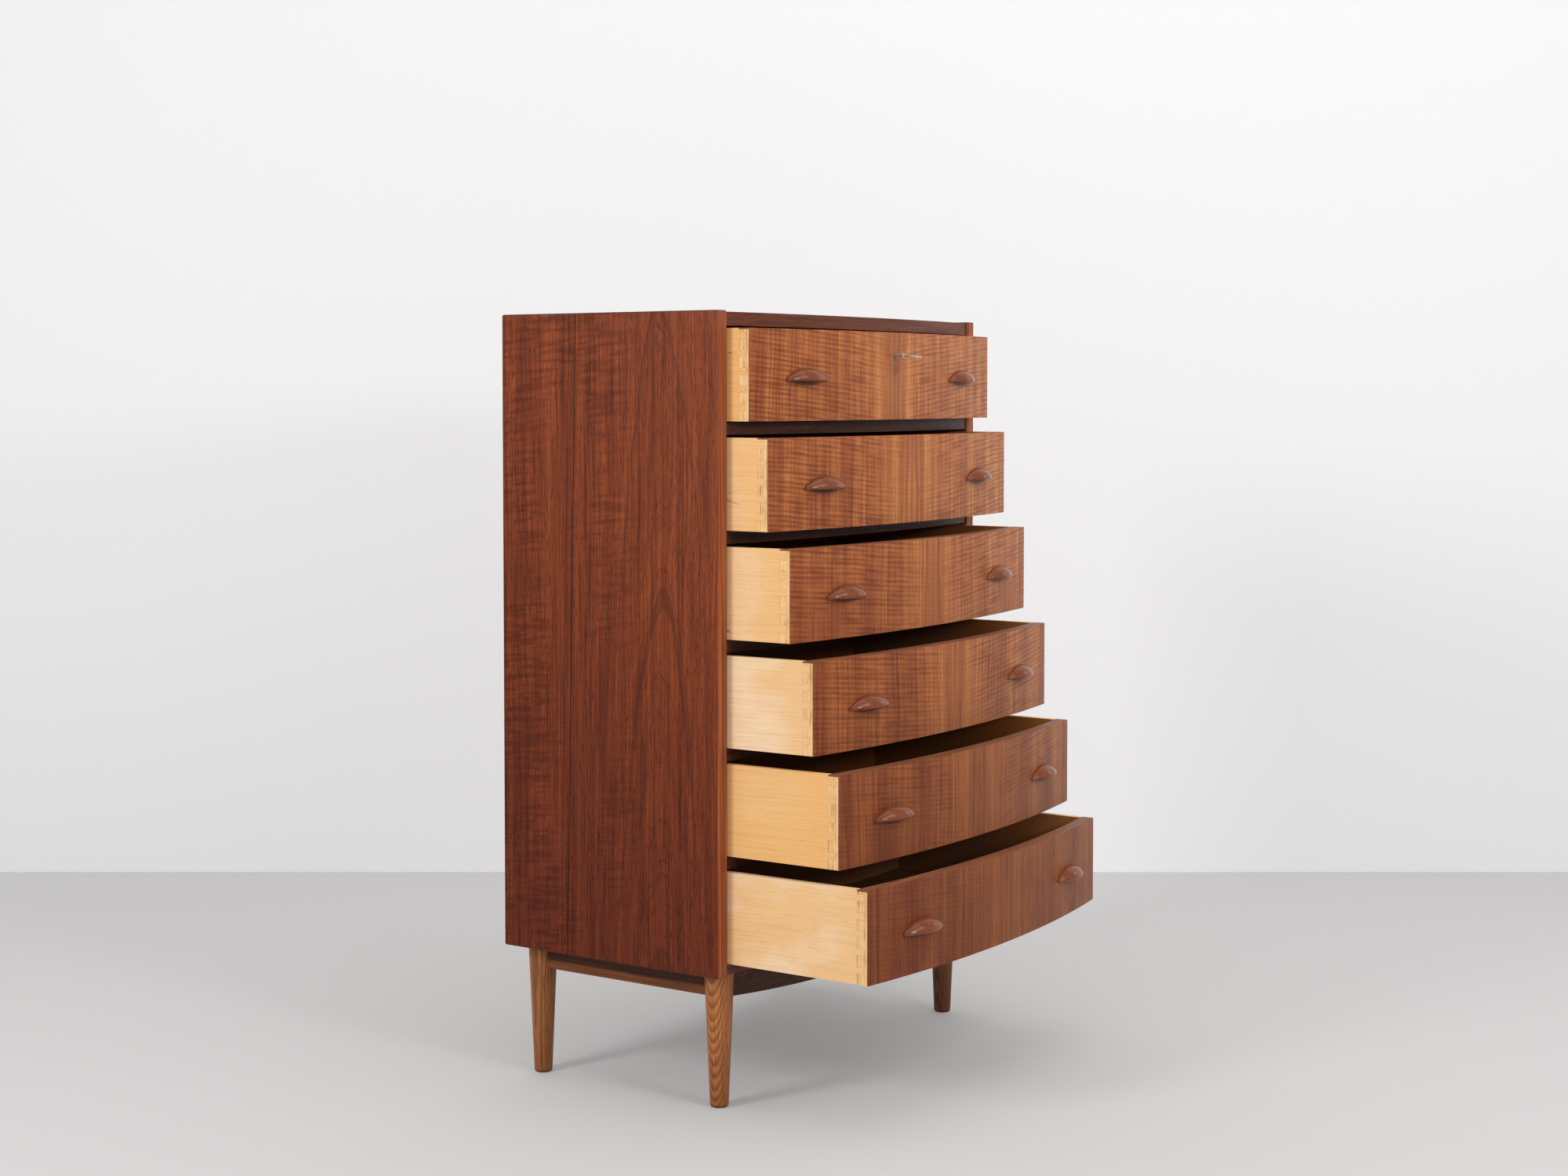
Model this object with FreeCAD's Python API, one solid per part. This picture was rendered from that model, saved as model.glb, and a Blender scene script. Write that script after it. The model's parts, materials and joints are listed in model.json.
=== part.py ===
"""Bow front chest of six drawers in teak, on a turned four-legged base.

Millimetres. X runs to the right as seen from the front, the front faces -Y, and Z is up.
The origin is on the floor, under the middle of the chest as it stands with its drawers drawn out.
Every piece is written to its own STEP file in parts/.
"""
import FreeCAD, Part
import math
import os

V = FreeCAD.Vector
X_AXIS = V(1, 0, 0)
Y_AXIS = V(0, 1, 0)
Z_AXIS = V(0, 0, 1)

# ---------------------------------------------------------------- driving sizes
# carcass
case_width = 755.0
side_depth = 408.0
side_thickness = 23.0
side_edge_radius = 3.0
side_rise = 2.0            # sides stand this far above the top panel
side_drop = 2.2            # and this far below the bottom panel
top_thickness = 20.0
bottom_thickness = 15.0
rail_thickness = 18.0
rail_depth = 70.0
panel_bow = 28.2           # rise of the arc on the front edge of top, rails and bottom
panel_setback = 2.8        # ends of those front edges behind the sides' front edges
housing_depth = 7.0        # how far panels and rails are let into the sides
housing_shoulder = 4.0     # taken off each face of a panel to make its tongue
housing_stop = 16.0        # the housings stop this far behind the front edges
back_thickness = 6.0
back_recess = 2.0
rebate_width = 9.0
runner_width = 20.0
stop_length = 40.0
stop_width = 12.0
stop_height = 6.5
stop_offset = 200.0

# drawers
drawer_count = 6
drawer_height = 135.5
drawer_length = 380.0
drawer_bow = 30.3
drawer_openings = [42.0, 74.5, 113.0, 152.5, 196.0, 244.5]   # drawn out from closed, top to bottom
front_thickness = 20.5
lining_thickness = 11.0    # drawer sides and back
side_clearance = 0.75      # drawer to case, each side
gap_over_drawer = 4.0
gap_under_drawer = 1.8
running_gap = 0.2          # drawer sides above their runners
floor_thickness = 4.5      # drawer bottom
floor_height = 8.0         # its underside above the drawer's lower edge
groove_depth = 5.0
groove_play = 0.5
back_drop = 5.0            # drawer back below the top of its sides

# dovetails
tail_length = 12.0         # front joint
tail_width = 10.4          # at half its length
tail_pitch = 26.0
tail_count = 5
top_pin = 5.7
tail_slope = 5.0           # degrees

# handles
handle_half_length = 46.0
handle_radius = 20.2       # both how far it stands out and how high it is
handle_tip_radius = 11.5
handle_offset = 231.0
handle_above_edge = 58.5
grip_half_length = 24.0
grip_radius = 6.0
grip_depth = 8.0
grip_web = 4.0             # wood left against the drawer front

# lock and key
lock_half_width = 28.0
lock_height = 46.0
lock_depth = 11.0
lock_plate = 2.0
lock_wall = 1.5
lock_margin = 5.0          # plate beyond the box
key_drop = 34.0            # key below the drawer's top edge
bolt_half_width = 8.0
bolt_thickness = 5.0
bolt_throw = 8.0
bolt_play = 0.2
bolt_tail = 28.0
bolt_plate_thickness = 2.0
keyhole_radius = 3.4
keyhole_slot = 2.8
keyhole_length = 17.0
escutcheon_wall = 0.8
escutcheon_depth = 5.0
key_radius = 2.3
key_barrel = 17.0
key_neck = 9.0
key_neck_radius = 1.6
key_collar = 2.4
key_collar_radius = 3.6
key_bow_radius = 11.5
key_bow_thickness = 2.4
key_bow_rim = 3.6
key_bit_reach = 7.0
key_bit_thickness = 2.6
key_bit_width = 7.0
key_bit_play = 0.8
key_tilt = 4.5             # degrees that the key hangs down in its worn hole
strike_length = 44.0
strike_width = 13.0
strike_thickness = 1.5
strike_mortise = 6.5
strike_play = 1.0

# base
leg_height = 205.2
leg_top_radius = 22.6
leg_foot_radius = 14.0
leg_foot_chamfer = 2.0
leg_side_inset = 46.5      # leg centres inside the case's faces
leg_front_inset = 32.0
leg_back_inset = 39.0
base_rail_height = 38.2
base_rail_thickness = 20.0
base_rail_outset = 12.0    # outer faces of the side and back rails outside the leg centres
apron_forward = 18.0       # apron face in front of the leg centres
apron_bow = 36.0
apron_belly = 10.0         # the apron is this much deeper in the middle
tenon_thickness = 8.0
tenon_height = 24.0
tenon_length = 13.0
corner_block_height = 20.0
corner_block_near = 30.0
corner_block_far = 68.0

# ---------------------------------------------------------------- derived places
half_case = case_width / 2
leg_spread = half_case - leg_side_inset
half_inner = half_case - side_thickness
half_drawer = half_inner - side_clearance
half_lining = half_drawer - lining_thickness
pitch = gap_over_drawer + drawer_height + gap_under_drawer + rail_thickness


def arc_radius(half_chord, rise):
    """Radius of the arc that rises by `rise` over a chord of twice half_chord."""
    return (half_chord ** 2 + rise ** 2) / (2 * rise)


drawer_radius = arc_radius(half_drawer, drawer_bow)
panel_radius = arc_radius(half_inner, panel_bow)
inner_radius = drawer_radius - front_thickness
handle_angle = math.asin(handle_offset / drawer_radius)


def bow_at(x, radius, rise):
    """How far an arc with its middle at x = 0 stands in front of its chord at x."""
    return rise - radius + math.sqrt(radius ** 2 - x ** 2)


tip_centre = handle_half_length - handle_tip_radius
oval_radius = (tip_centre ** 2 + handle_radius ** 2 - handle_tip_radius ** 2) / (
    2 * (handle_radius - handle_tip_radius)
)
oval_depth = oval_radius - handle_radius        # the long arc's centre, behind the axis
handle_reach = oval_radius - oval_depth * math.cos(handle_angle)
overhang = (
    max(drawer_openings) - panel_setback
    + bow_at(handle_offset, drawer_radius, drawer_bow) + handle_reach
)
case_front = (overhang - side_depth) / 2
case_back = case_front + side_depth
face_line = case_front + panel_setback          # ends of the closed drawer fronts
panel_back = case_back - back_recess - back_thickness

bottom_under = leg_height
bottom_top = bottom_under + bottom_thickness
top_under = bottom_top + drawer_count * pitch - rail_thickness
top_face = top_under + top_thickness
overall_height = top_face + side_rise
side_bottom = bottom_under - side_drop


def drawer_base(number):
    """Height of the lower edge of drawer 1 (top) to drawer_count (bottom)."""
    return top_under - gap_over_drawer - drawer_height - (number - 1) * pitch


# ---------------------------------------------------------------- helpers
def block(x0, x1, y0, y1, z0, z1):
    """Rectangular block between two opposite corners."""
    return Part.makeBox(x1 - x0, y1 - y0, z1 - z0, V(x0, y0, z0))


def prism(points, direction):
    """Solid swept from a closed polygon."""
    outline = Part.makePolygon(points + [points[0]])
    return Part.Face(outline).extrude(direction)


def mirrored(shape):
    """The same piece on the other side of the middle plane."""
    return shape.mirror(V(0, 0, 0), X_AXIS)


def cylinder(radius, length, start, direction):
    return Part.makeCylinder(radius, length, start, direction)


def arc_front(half, front, rise, back, z0, z1):
    """Board with a bowed front edge: ends at `front`, middle `rise` further forward."""
    left = V(-half, front, z0)
    middle = V(0, front - rise, z0)
    right = V(half, front, z0)
    edges = [
        Part.Arc(left, middle, right).toShape(),
        Part.makeLine(right, V(half, back, z0)),
        Part.makeLine(V(half, back, z0), V(-half, back, z0)),
        Part.makeLine(V(-half, back, z0), left),
    ]
    return Part.Face(Part.Wire(edges)).extrude(V(0, 0, z1 - z0))


def centre_post(radius, centre_y, z0, z1):
    """Upright cylinder about an arc's own centre, used to cut that arc."""
    return cylinder(radius, z1 - z0, V(0, centre_y, z0), Z_AXIS)


def fuse(shapes):
    joined = shapes[0]
    for shape in shapes[1:]:
        joined = joined.fuse(shape)
    return joined.removeSplitter()


def cut(shape, tools):
    for tool in tools:
        shape = shape.cut(tool)
    return shape


os.makedirs("parts", exist_ok=True)


def save(name, shapes):
    """Write one node; several solids become one compound of separate pieces."""
    solids = []
    for shape in shapes:
        solids += shape.Solids
    result = solids[0] if len(solids) == 1 else Part.makeCompound(solids)
    result.exportStep("parts/" + name + ".step")


# ---------------------------------------------------------------- carcass panels
def tongued_panel(z0, z1, back):
    """Panel between the sides with bowed front edge and a stopped tongue on each end."""
    board = arc_front(half_inner, face_line, panel_bow, back, z0, z1)
    tongue_front = face_line + housing_stop
    shoulder = min(housing_shoulder, (z1 - z0) / 3)
    tongue = block(
        half_inner - 1, half_inner + housing_depth,
        tongue_front, back, z0 + shoulder, z1 - shoulder,
    )
    return fuse([board, tongue, mirrored(tongue)]), [tongue, mirrored(tongue)]


top_panel, top_tongues = tongued_panel(top_under, top_face, case_back - back_recess)
bottom_panel, bottom_tongues = tongued_panel(bottom_under, bottom_top, panel_back)

top_rebate = block(
    -half_case, half_case, panel_back, case_back, top_under - 1, top_under + top_thickness / 2
)
top_panel = top_panel.cut(top_rebate)

rails = []
rail_tongues = []
for number in range(1, drawer_count):
    rail_top = drawer_base(number) - gap_under_drawer
    rail, tongues = tongued_panel(rail_top - rail_thickness, rail_top, face_line + rail_depth)
    rails.append(rail)
    rail_tongues += tongues

back_half = half_inner + rebate_width - 0.5
back_panel = block(
    -back_half, back_half, panel_back, case_back - back_recess,
    bottom_under, top_under + top_thickness / 2,
)

side_blank = block(
    half_inner, half_case, case_front, case_back, side_bottom, overall_height
)
side_blank = side_blank.makeFillet(side_edge_radius, side_blank.Edges)
side_rebate = block(
    half_inner - 1, half_inner + rebate_width, panel_back, case_back + 1,
    bottom_under, top_under + top_thickness / 2,
)
side_right = side_blank.cut(side_rebate)
side_left = mirrored(side_right)
side_right = cut(side_right, top_tongues + bottom_tongues + rail_tongues)
side_left = cut(side_left, top_tongues + bottom_tongues + rail_tongues)

# ---------------------------------------------------------------- runners and stops
runners = []
stops = []
runner_front = face_line + rail_depth
stop_face = (
    face_line - drawer_bow + drawer_radius
    - math.sqrt(inner_radius ** 2 - (stop_offset + stop_length / 2) ** 2) + 0.3
)
for number in range(1, drawer_count + 1):
    edge = drawer_base(number)
    lowest = number == drawer_count
    runner_bottom = bottom_top if lowest else edge - gap_under_drawer - rail_thickness
    runner = block(
        half_inner - runner_width, half_inner, runner_front, panel_back,
        runner_bottom, edge - running_gap,
    )
    stop_base = edge - gap_under_drawer
    stop = block(
        stop_offset - stop_length / 2, stop_offset + stop_length / 2,
        stop_face, stop_face + stop_width, stop_base, stop_base + stop_height,
    )
    runners += [runner, mirrored(runner)]
    stops += [stop, mirrored(stop)]

# ---------------------------------------------------------------- base
leg_front_y = case_front + leg_front_inset
leg_back_y = case_back - leg_back_inset


def turned_leg(x, y):
    """Round leg, tapering to a foot with its corner taken off."""
    outline = [
        V(0, 0, 0),
        V(leg_foot_radius - leg_foot_chamfer, 0, 0),
        V(leg_foot_radius, 0, leg_foot_chamfer),
        V(leg_top_radius, 0, leg_height),
        V(0, 0, leg_height),
    ]
    leg = Part.Face(Part.makePolygon(outline + [outline[0]])).revolve(V(0, 0, 0), Z_AXIS, 360)
    leg.translate(V(x, y, 0))
    return leg


legs = {
    "front_left": turned_leg(-leg_spread, leg_front_y),
    "front_right": turned_leg(leg_spread, leg_front_y),
    "back_left": turned_leg(-leg_spread, leg_back_y),
    "back_right": turned_leg(leg_spread, leg_back_y),
}

rail_bottom = bottom_under - base_rail_height
tenon_z0 = bottom_under - base_rail_height / 2 - tenon_height / 2
tenon_z1 = tenon_z0 + tenon_height
side_rail_outer = leg_spread + base_rail_outset
side_rail_mid = side_rail_outer - base_rail_thickness / 2
tenon_half = tenon_thickness / 2
mortise_stop = leg_top_radius - tenon_length     # tenons end this far from the leg's axis


def side_rail():
    """Straight rail between a front and a back leg, with a tenon into each."""
    rail = block(
        side_rail_outer - base_rail_thickness, side_rail_outer,
        leg_front_y, leg_back_y, rail_bottom, bottom_under,
    )
    rail = cut(rail, [legs["front_right"], legs["back_right"]])
    tenon = block(
        side_rail_mid - tenon_half, side_rail_mid + tenon_half,
        leg_front_y + mortise_stop, leg_back_y - mortise_stop, tenon_z0, tenon_z1,
    )
    return fuse([rail, tenon])


def apron_outline_cutter():
    """Everything above the apron's bellied lower edge, as a sweep along Y."""
    half = leg_spread
    left = V(-half, case_front - case_width, rail_bottom)
    right = V(half, case_front - case_width, rail_bottom)
    middle = V(0, case_front - case_width, rail_bottom - apron_belly)
    high_left = V(-half, case_front - case_width, bottom_under)
    high_right = V(half, case_front - case_width, bottom_under)
    edges = [
        Part.Arc(left, middle, right).toShape(),
        Part.makeLine(right, high_right),
        Part.makeLine(high_right, high_left),
        Part.makeLine(high_left, left),
    ]
    return Part.Face(Part.Wire(edges)).extrude(V(0, 2 * case_width, 0))


apron_face = leg_front_y - apron_forward
apron_radius = arc_radius(leg_spread, apron_bow)
apron_centre = apron_face - apron_bow + apron_radius


def front_apron():
    """Bowed board between the front legs, deeper in the middle, with a tenon into each leg."""
    z0 = rail_bottom - apron_belly
    curve = arc_front(leg_spread, apron_face, apron_bow, apron_face + 2 * apron_bow, z0, bottom_under)
    hollow = centre_post(apron_radius - base_rail_thickness, apron_centre, z0 - 1, bottom_under + 1)
    board = curve.cut(hollow).common(apron_outline_cutter())
    board = cut(board, [legs["front_left"], legs["front_right"]])
    middle = apron_centre - math.sqrt(
        (apron_radius - base_rail_thickness / 2) ** 2 - (leg_spread - leg_top_radius) ** 2
    )
    tenon = block(
        leg_spread - leg_top_radius - tenon_half, leg_spread - mortise_stop,
        middle - tenon_half, middle + tenon_half, tenon_z0, tenon_z1,
    )
    kept = max(board.Solids, key=lambda solid: solid.Volume)
    return fuse([kept, tenon, mirrored(tenon)])


def back_rail():
    """Straight rail between the back legs."""
    outer = leg_back_y + base_rail_outset
    middle = outer - base_rail_thickness / 2
    rail = block(
        -leg_spread, leg_spread, outer - base_rail_thickness, outer, rail_bottom, bottom_under
    )
    rail = cut(rail, [legs["back_left"], legs["back_right"]])
    reach = leg_spread - mortise_stop
    tenon = block(
        -reach, reach, middle - tenon_half, middle + tenon_half, tenon_z0, tenon_z1
    )
    return fuse([rail, tenon])


base_right = side_rail()
base_left = mirrored(base_right)
apron = front_apron()
base_back = back_rail()


def corner_block(leg_y, inward, tools):
    """Triangular block across the inner corner beside a leg."""
    inner_x = side_rail_outer - base_rail_thickness
    end_y = leg_y - inward * apron_forward
    outline = [
        V(inner_x, leg_y + inward * corner_block_near, bottom_under - corner_block_height),
        V(inner_x, leg_y + inward * corner_block_far, bottom_under - corner_block_height),
        V(leg_spread - corner_block_far, end_y, bottom_under - corner_block_height),
        V(leg_spread - corner_block_near, end_y, bottom_under - corner_block_height),
    ]
    piece = cut(prism(outline, V(0, 0, corner_block_height)), tools)
    return max(piece.Solids, key=lambda solid: solid.Volume)


front_block = corner_block(leg_front_y, 1, [apron, legs["front_right"]])
back_block = corner_block(leg_back_y, -1, [base_back, legs["back_right"]])
corner_blocks = [front_block, mirrored(front_block), back_block, mirrored(back_block)]

leg_tools = [base_right, base_left, apron, base_back]
legs = {name: cut(leg, leg_tools) for name, leg in legs.items()}

# ---------------------------------------------------------------- one drawer, closed, lower edge at z = 0
face_centre = face_line - drawer_bow + drawer_radius      # y of the bow's own centre
shoulder_y = face_centre - math.sqrt(inner_radius ** 2 - half_lining ** 2)
tail_tip = shoulder_y - tail_length
drawer_back = face_line + drawer_length
back_board_front = drawer_back - lining_thickness
floor_top = floor_height + floor_thickness
back_top = drawer_height - back_drop


def tails(shoulder, tip, low, high):
    """Dovetails of one drawer side, wider at the tip than at the shoulder, between two heights."""
    reach = abs(tip - shoulder)
    flare = reach / 2 * math.tan(math.radians(tail_slope))
    found = []
    for index in range(tail_count):
        upper = drawer_height - top_pin - index * tail_pitch
        lower = upper - tail_width
        if lower - flare < low or upper + flare > high:
            continue
        outline = [
            V(half_lining, shoulder, lower + flare),
            V(half_lining, shoulder, upper - flare),
            V(half_lining, tip, upper + flare),
            V(half_lining, tip, lower - flare),
        ]
        found.append(prism(outline, V(lining_thickness, 0, 0)))
    return found


def drawer_front():
    """Bowed front of even thickness with lapped dovetail sockets and a groove for the floor."""
    board = arc_front(half_drawer, face_line, drawer_bow, face_line + front_thickness, 0, drawer_height)
    board = board.cut(centre_post(inner_radius, face_centre, -1, drawer_height + 1))
    seat = block(half_lining, half_drawer + 1, shoulder_y, face_line + 60, -1, drawer_height + 1)
    groove_half = half_lining + groove_depth
    groove = centre_post(inner_radius + groove_depth, face_centre, floor_height, floor_top + 0.1)
    groove = groove.common(
        block(
            -groove_half, groove_half, face_line - 60, face_line + 60, floor_height, floor_top + 0.1
        )
    )
    sockets = tails(shoulder_y, tail_tip, 0, drawer_height)
    sockets += [mirrored(socket) for socket in sockets]
    return cut(board, [seat, mirrored(seat), groove] + sockets)


def drawer_back_board():
    """Back board with pins between through dovetails, standing on the drawer's floor."""
    board = block(-half_drawer, half_drawer, back_board_front, drawer_back, floor_top + 0.1, back_top)
    sockets = tails(back_board_front, drawer_back, floor_top, back_top)
    return cut(board, sockets + [mirrored(socket) for socket in sockets])


def drawer_side(front, back):
    """Side with tails at both ends and a groove along its inner face."""
    board = block(half_lining, half_drawer, tail_tip, drawer_back, 0, drawer_height)
    groove = block(
        half_lining - 1, half_lining + groove_depth, tail_tip, drawer_back + 1,
        floor_height, floor_top + 0.1,
    )
    return cut(board, [front, back, groove])


def drawer_floor():
    """Thin floor with a bowed front edge, let into the front and the sides."""
    half = half_lining + groove_depth - groove_play
    edge_radius = inner_radius + groove_depth - groove_play
    sheet = block(-half, half, face_line - 60, drawer_back, floor_height, floor_top)
    bowed = centre_post(edge_radius, face_centre, floor_height, floor_top)
    return sheet.common(bowed)


def turned_oval():
    """Quarter of an oval turned about the X axis: a long arc that runs into two tip arcs."""
    reach = math.hypot(tip_centre, oval_depth)
    joint_x = tip_centre + handle_tip_radius * tip_centre / reach
    joint_z = handle_tip_radius * oval_depth / reach
    half_turn = math.atan2(oval_depth, tip_centre) / 2
    middle_x = tip_centre + handle_tip_radius * math.cos(half_turn)
    middle_z = handle_tip_radius * math.sin(half_turn)
    left_tip = V(-handle_half_length, 0, 0)
    right_tip = V(handle_half_length, 0, 0)
    left_joint = V(-joint_x, 0, joint_z)
    right_joint = V(joint_x, 0, joint_z)
    edges = [
        Part.Arc(left_tip, V(-middle_x, 0, middle_z), left_joint).toShape(),
        Part.Arc(left_joint, V(0, 0, handle_radius), right_joint).toShape(),
        Part.Arc(right_joint, V(middle_x, 0, middle_z), right_tip).toShape(),
        Part.makeLine(right_tip, left_tip),
    ]
    return Part.Face(Part.Wire(edges)).revolve(V(0, 0, 0), X_AXIS, 90)


def handle():
    """Half-moon pull with a groove underneath for the fingers, seated on the bowed front."""
    dome = turned_oval()
    root = dome.Faces[0]
    for face in dome.Faces:
        if face.BoundBox.YLength < 0.001:
            root = face
    dome = dome.fuse(root.extrude(V(0, 1, 0))).removeSplitter()
    groove_start = V(-grip_half_length, -grip_web - grip_radius, grip_depth - grip_radius)
    dome = dome.cut(cylinder(grip_radius, 2 * grip_half_length, groove_start, X_AXIS))
    dome.rotate(V(0, 0, 0), Z_AXIS, math.degrees(handle_angle))
    seat_y = face_centre - drawer_radius * math.cos(handle_angle)
    dome.translate(V(handle_offset, seat_y, handle_above_edge))
    return dome.cut(centre_post(drawer_radius, face_centre, 0, drawer_height))


plain_front = drawer_front()
back_board = drawer_back_board()
lining_right = drawer_side(plain_front, back_board)
lining_left = mirrored(lining_right)
floor_board = drawer_floor()
handle_right = handle()
handle_left = mirrored(handle_right)

# ---------------------------------------------------------------- lock, on the closed top drawer
lock_back = face_line - drawer_bow + front_thickness      # inner face of the front at x = 0
lock_front = lock_back - lock_depth
lock_half_box = lock_half_width - lock_margin
lock_foot = drawer_height - lock_height
key_height = drawer_height - key_drop
outer_face = face_line - drawer_bow

plate = block(-lock_half_width, lock_half_width, lock_back - lock_plate, lock_back,
              lock_foot, drawer_height)
selvedge = block(-lock_half_width, lock_half_width, lock_front, lock_back,
                 drawer_height - lock_plate, drawer_height)
box = block(-lock_half_box, lock_half_box, lock_front, lock_back,
            lock_foot + lock_margin / 2, drawer_height)
cavity = block(-lock_half_box + lock_wall, lock_half_box - lock_wall,
               lock_front - 1, lock_back - lock_plate,
               lock_foot + lock_margin / 2 + lock_wall, drawer_height - lock_plate)
bolt_y = lock_back - lock_plate - bolt_play - bolt_thickness / 2
bolt_slot = block(-bolt_half_width - bolt_play, bolt_half_width + bolt_play,
                  bolt_y - bolt_thickness / 2 - bolt_play, bolt_y + bolt_thickness / 2 + bolt_play,
                  drawer_height - lock_plate - 1, drawer_height + 1)
lock_body = fuse([plate, selvedge, box])
lock_case = lock_body.cut(cavity).cut(bolt_slot)
clear_back = V(0, lock_plate, 0)
lock_pocket = fuse([plate, selvedge, box] + [piece.translated(clear_back) for piece in (plate, selvedge, box)])

bolt_tail_half = lock_half_box - lock_wall - 5
bolt_tail_top = drawer_height - lock_plate - bolt_throw - 2
bolt_head = block(-bolt_half_width, bolt_half_width,
                  bolt_y - bolt_thickness / 2, bolt_y + bolt_thickness / 2,
                  bolt_tail_top - 4, drawer_height)
bolt_plate = block(-bolt_tail_half, bolt_tail_half,
                   bolt_y + bolt_thickness / 2 - bolt_plate_thickness, bolt_y + bolt_thickness / 2,
                   bolt_tail_top - bolt_tail, bolt_tail_top)
# the forked tail stands astride the key, and the bit lifts the fork's crown
fork = block(-key_bit_reach - key_bit_play, key_radius + key_bit_play,
             lock_front, lock_back,
             bolt_tail_top - bolt_tail - 1, key_height + key_radius + key_bit_play)
lock_bolt = fuse([bolt_head, bolt_plate]).cut(fork)


def keyhole(radius, slot, length, start, depth):
    """Keyhole-shaped prism: a round hole with a straight slot under it."""
    top = key_height
    hole = cylinder(radius, depth, V(0, start, top), Y_AXIS)
    leg = block(-slot / 2, slot / 2, start, start + depth, top + radius - length, top)
    foot = cylinder(slot / 2, depth, V(0, start, top + radius - length), Y_AXIS)
    return fuse([hole, leg, foot])


liner_radius = keyhole_radius + escutcheon_wall
liner_slot = keyhole_slot + 2 * escutcheon_wall
liner_length = keyhole_length + escutcheon_wall
liner_outer = keyhole(liner_radius, liner_slot, liner_length, outer_face, escutcheon_depth)
liner_inner = keyhole(keyhole_radius, keyhole_slot, keyhole_length, outer_face - 1, escutcheon_depth + 2)
escutcheon = liner_outer.cut(liner_inner)
through_hole = keyhole(keyhole_radius + 0.3, keyhole_slot + 0.6, keyhole_length, outer_face - 1,
                       lock_front - outer_face + 2)
liner_hole = keyhole(liner_radius, liner_slot, liner_length, outer_face - 1, escutcheon_depth + 1)

locked_front = cut(plain_front, [lock_pocket, liner_hole, through_hole])


def key():
    """Key pointing along -Y: bit inside the lock, collar, neck and a flat oval bow outside."""
    bit_end = lock_back - lock_plate - key_bit_play
    barrel_end = outer_face - key_barrel
    neck_end = barrel_end - key_neck
    barrel = cylinder(key_radius, bit_end - barrel_end, V(0, barrel_end, 0), Y_AXIS)
    collar = cylinder(key_collar_radius, key_collar, V(0, barrel_end, 0), Y_AXIS)
    neck_length = key_neck + key_bow_rim
    neck = cylinder(key_neck_radius, neck_length, V(0, barrel_end - neck_length, 0), Y_AXIS)
    bit = block(-key_bit_reach, 0, bit_end - key_bit_width, bit_end,
                -key_bit_thickness / 2, key_bit_thickness / 2)
    bow_centre = V(0, neck_end - key_bow_radius + 1, -key_bow_thickness / 2)
    eye = cylinder(key_bow_radius - key_bow_rim, key_bow_thickness, bow_centre, Z_AXIS)
    loop = cylinder(key_bow_radius, key_bow_thickness, bow_centre, Z_AXIS).cut(eye)
    return fuse([barrel, collar, neck.cut(eye), loop, bit])


key_solid = key()
key_pivot = V(0, lock_front, 0)
key_solid.rotate(key_pivot, X_AXIS, key_tilt)
key_solid.translate(V(0, 0, key_height))

# ---------------------------------------------------------------- keeper in the top panel
strike_z0 = top_under
strike_x = strike_length / 2
strike = block(-strike_x, strike_x, bolt_y - strike_width / 2, bolt_y + strike_width / 2,
               strike_z0, strike_z0 + strike_thickness)
strike_slot = block(
    -bolt_half_width - strike_play, bolt_half_width + strike_play,
    bolt_y - bolt_thickness / 2 - strike_play, bolt_y + bolt_thickness / 2 + strike_play,
    strike_z0 - 1, strike_z0 + strike_mortise,
)
top_panel = cut(top_panel, [strike, strike_slot])
strike = strike.cut(strike_slot)

# ---------------------------------------------------------------- write the nodes
save("side_panel_left", [side_left])
save("side_panel_right", [side_right])
save("top_panel", [top_panel])
save("bottom_panel", [bottom_panel])
save("back_panel", [back_panel])
save("divider_rails", rails)
save("drawer_runners", runners)
save("drawer_stops", stops)
save("legs_front", [legs["front_left"], legs["front_right"]])
save("legs_back", [legs["back_left"], legs["back_right"]])
save("base_apron", [apron])
save("base_rail_left", [base_left])
save("base_rail_right", [base_right])
save("base_rail_back", [base_back])
save("corner_blocks", corner_blocks)
save("strike_plate", [strike])


def save_on_drawer(number, name, shapes):
    """Write pieces of a drawer at its own height, drawn out as far as it stands open."""
    move = V(0, -drawer_openings[number - 1], drawer_base(number))
    placed = []
    for shape in shapes:
        copy = shape.copy()
        copy.translate(move)
        placed.append(copy)
    save(name, placed)


for number in range(1, drawer_count + 1):
    prefix = "drawer_" + str(number) + "_"
    front = locked_front if number == 1 else plain_front
    save_on_drawer(number, prefix + "front", [front])
    save_on_drawer(number, prefix + "side_left", [lining_left])
    save_on_drawer(number, prefix + "side_right", [lining_right])
    save_on_drawer(number, prefix + "back", [back_board])
    save_on_drawer(number, prefix + "bottom", [floor_board])
    save_on_drawer(number, prefix + "handles", [handle_left, handle_right])

save_on_drawer(1, "lock_case", [lock_case])
save_on_drawer(1, "lock_bolt", [lock_bolt])
save_on_drawer(1, "escutcheon", [escutcheon])
save_on_drawer(1, "key", [key_solid])
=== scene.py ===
"""Dresses the bow front chest of drawers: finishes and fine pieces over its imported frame. Metres."""
import json
import math

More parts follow.
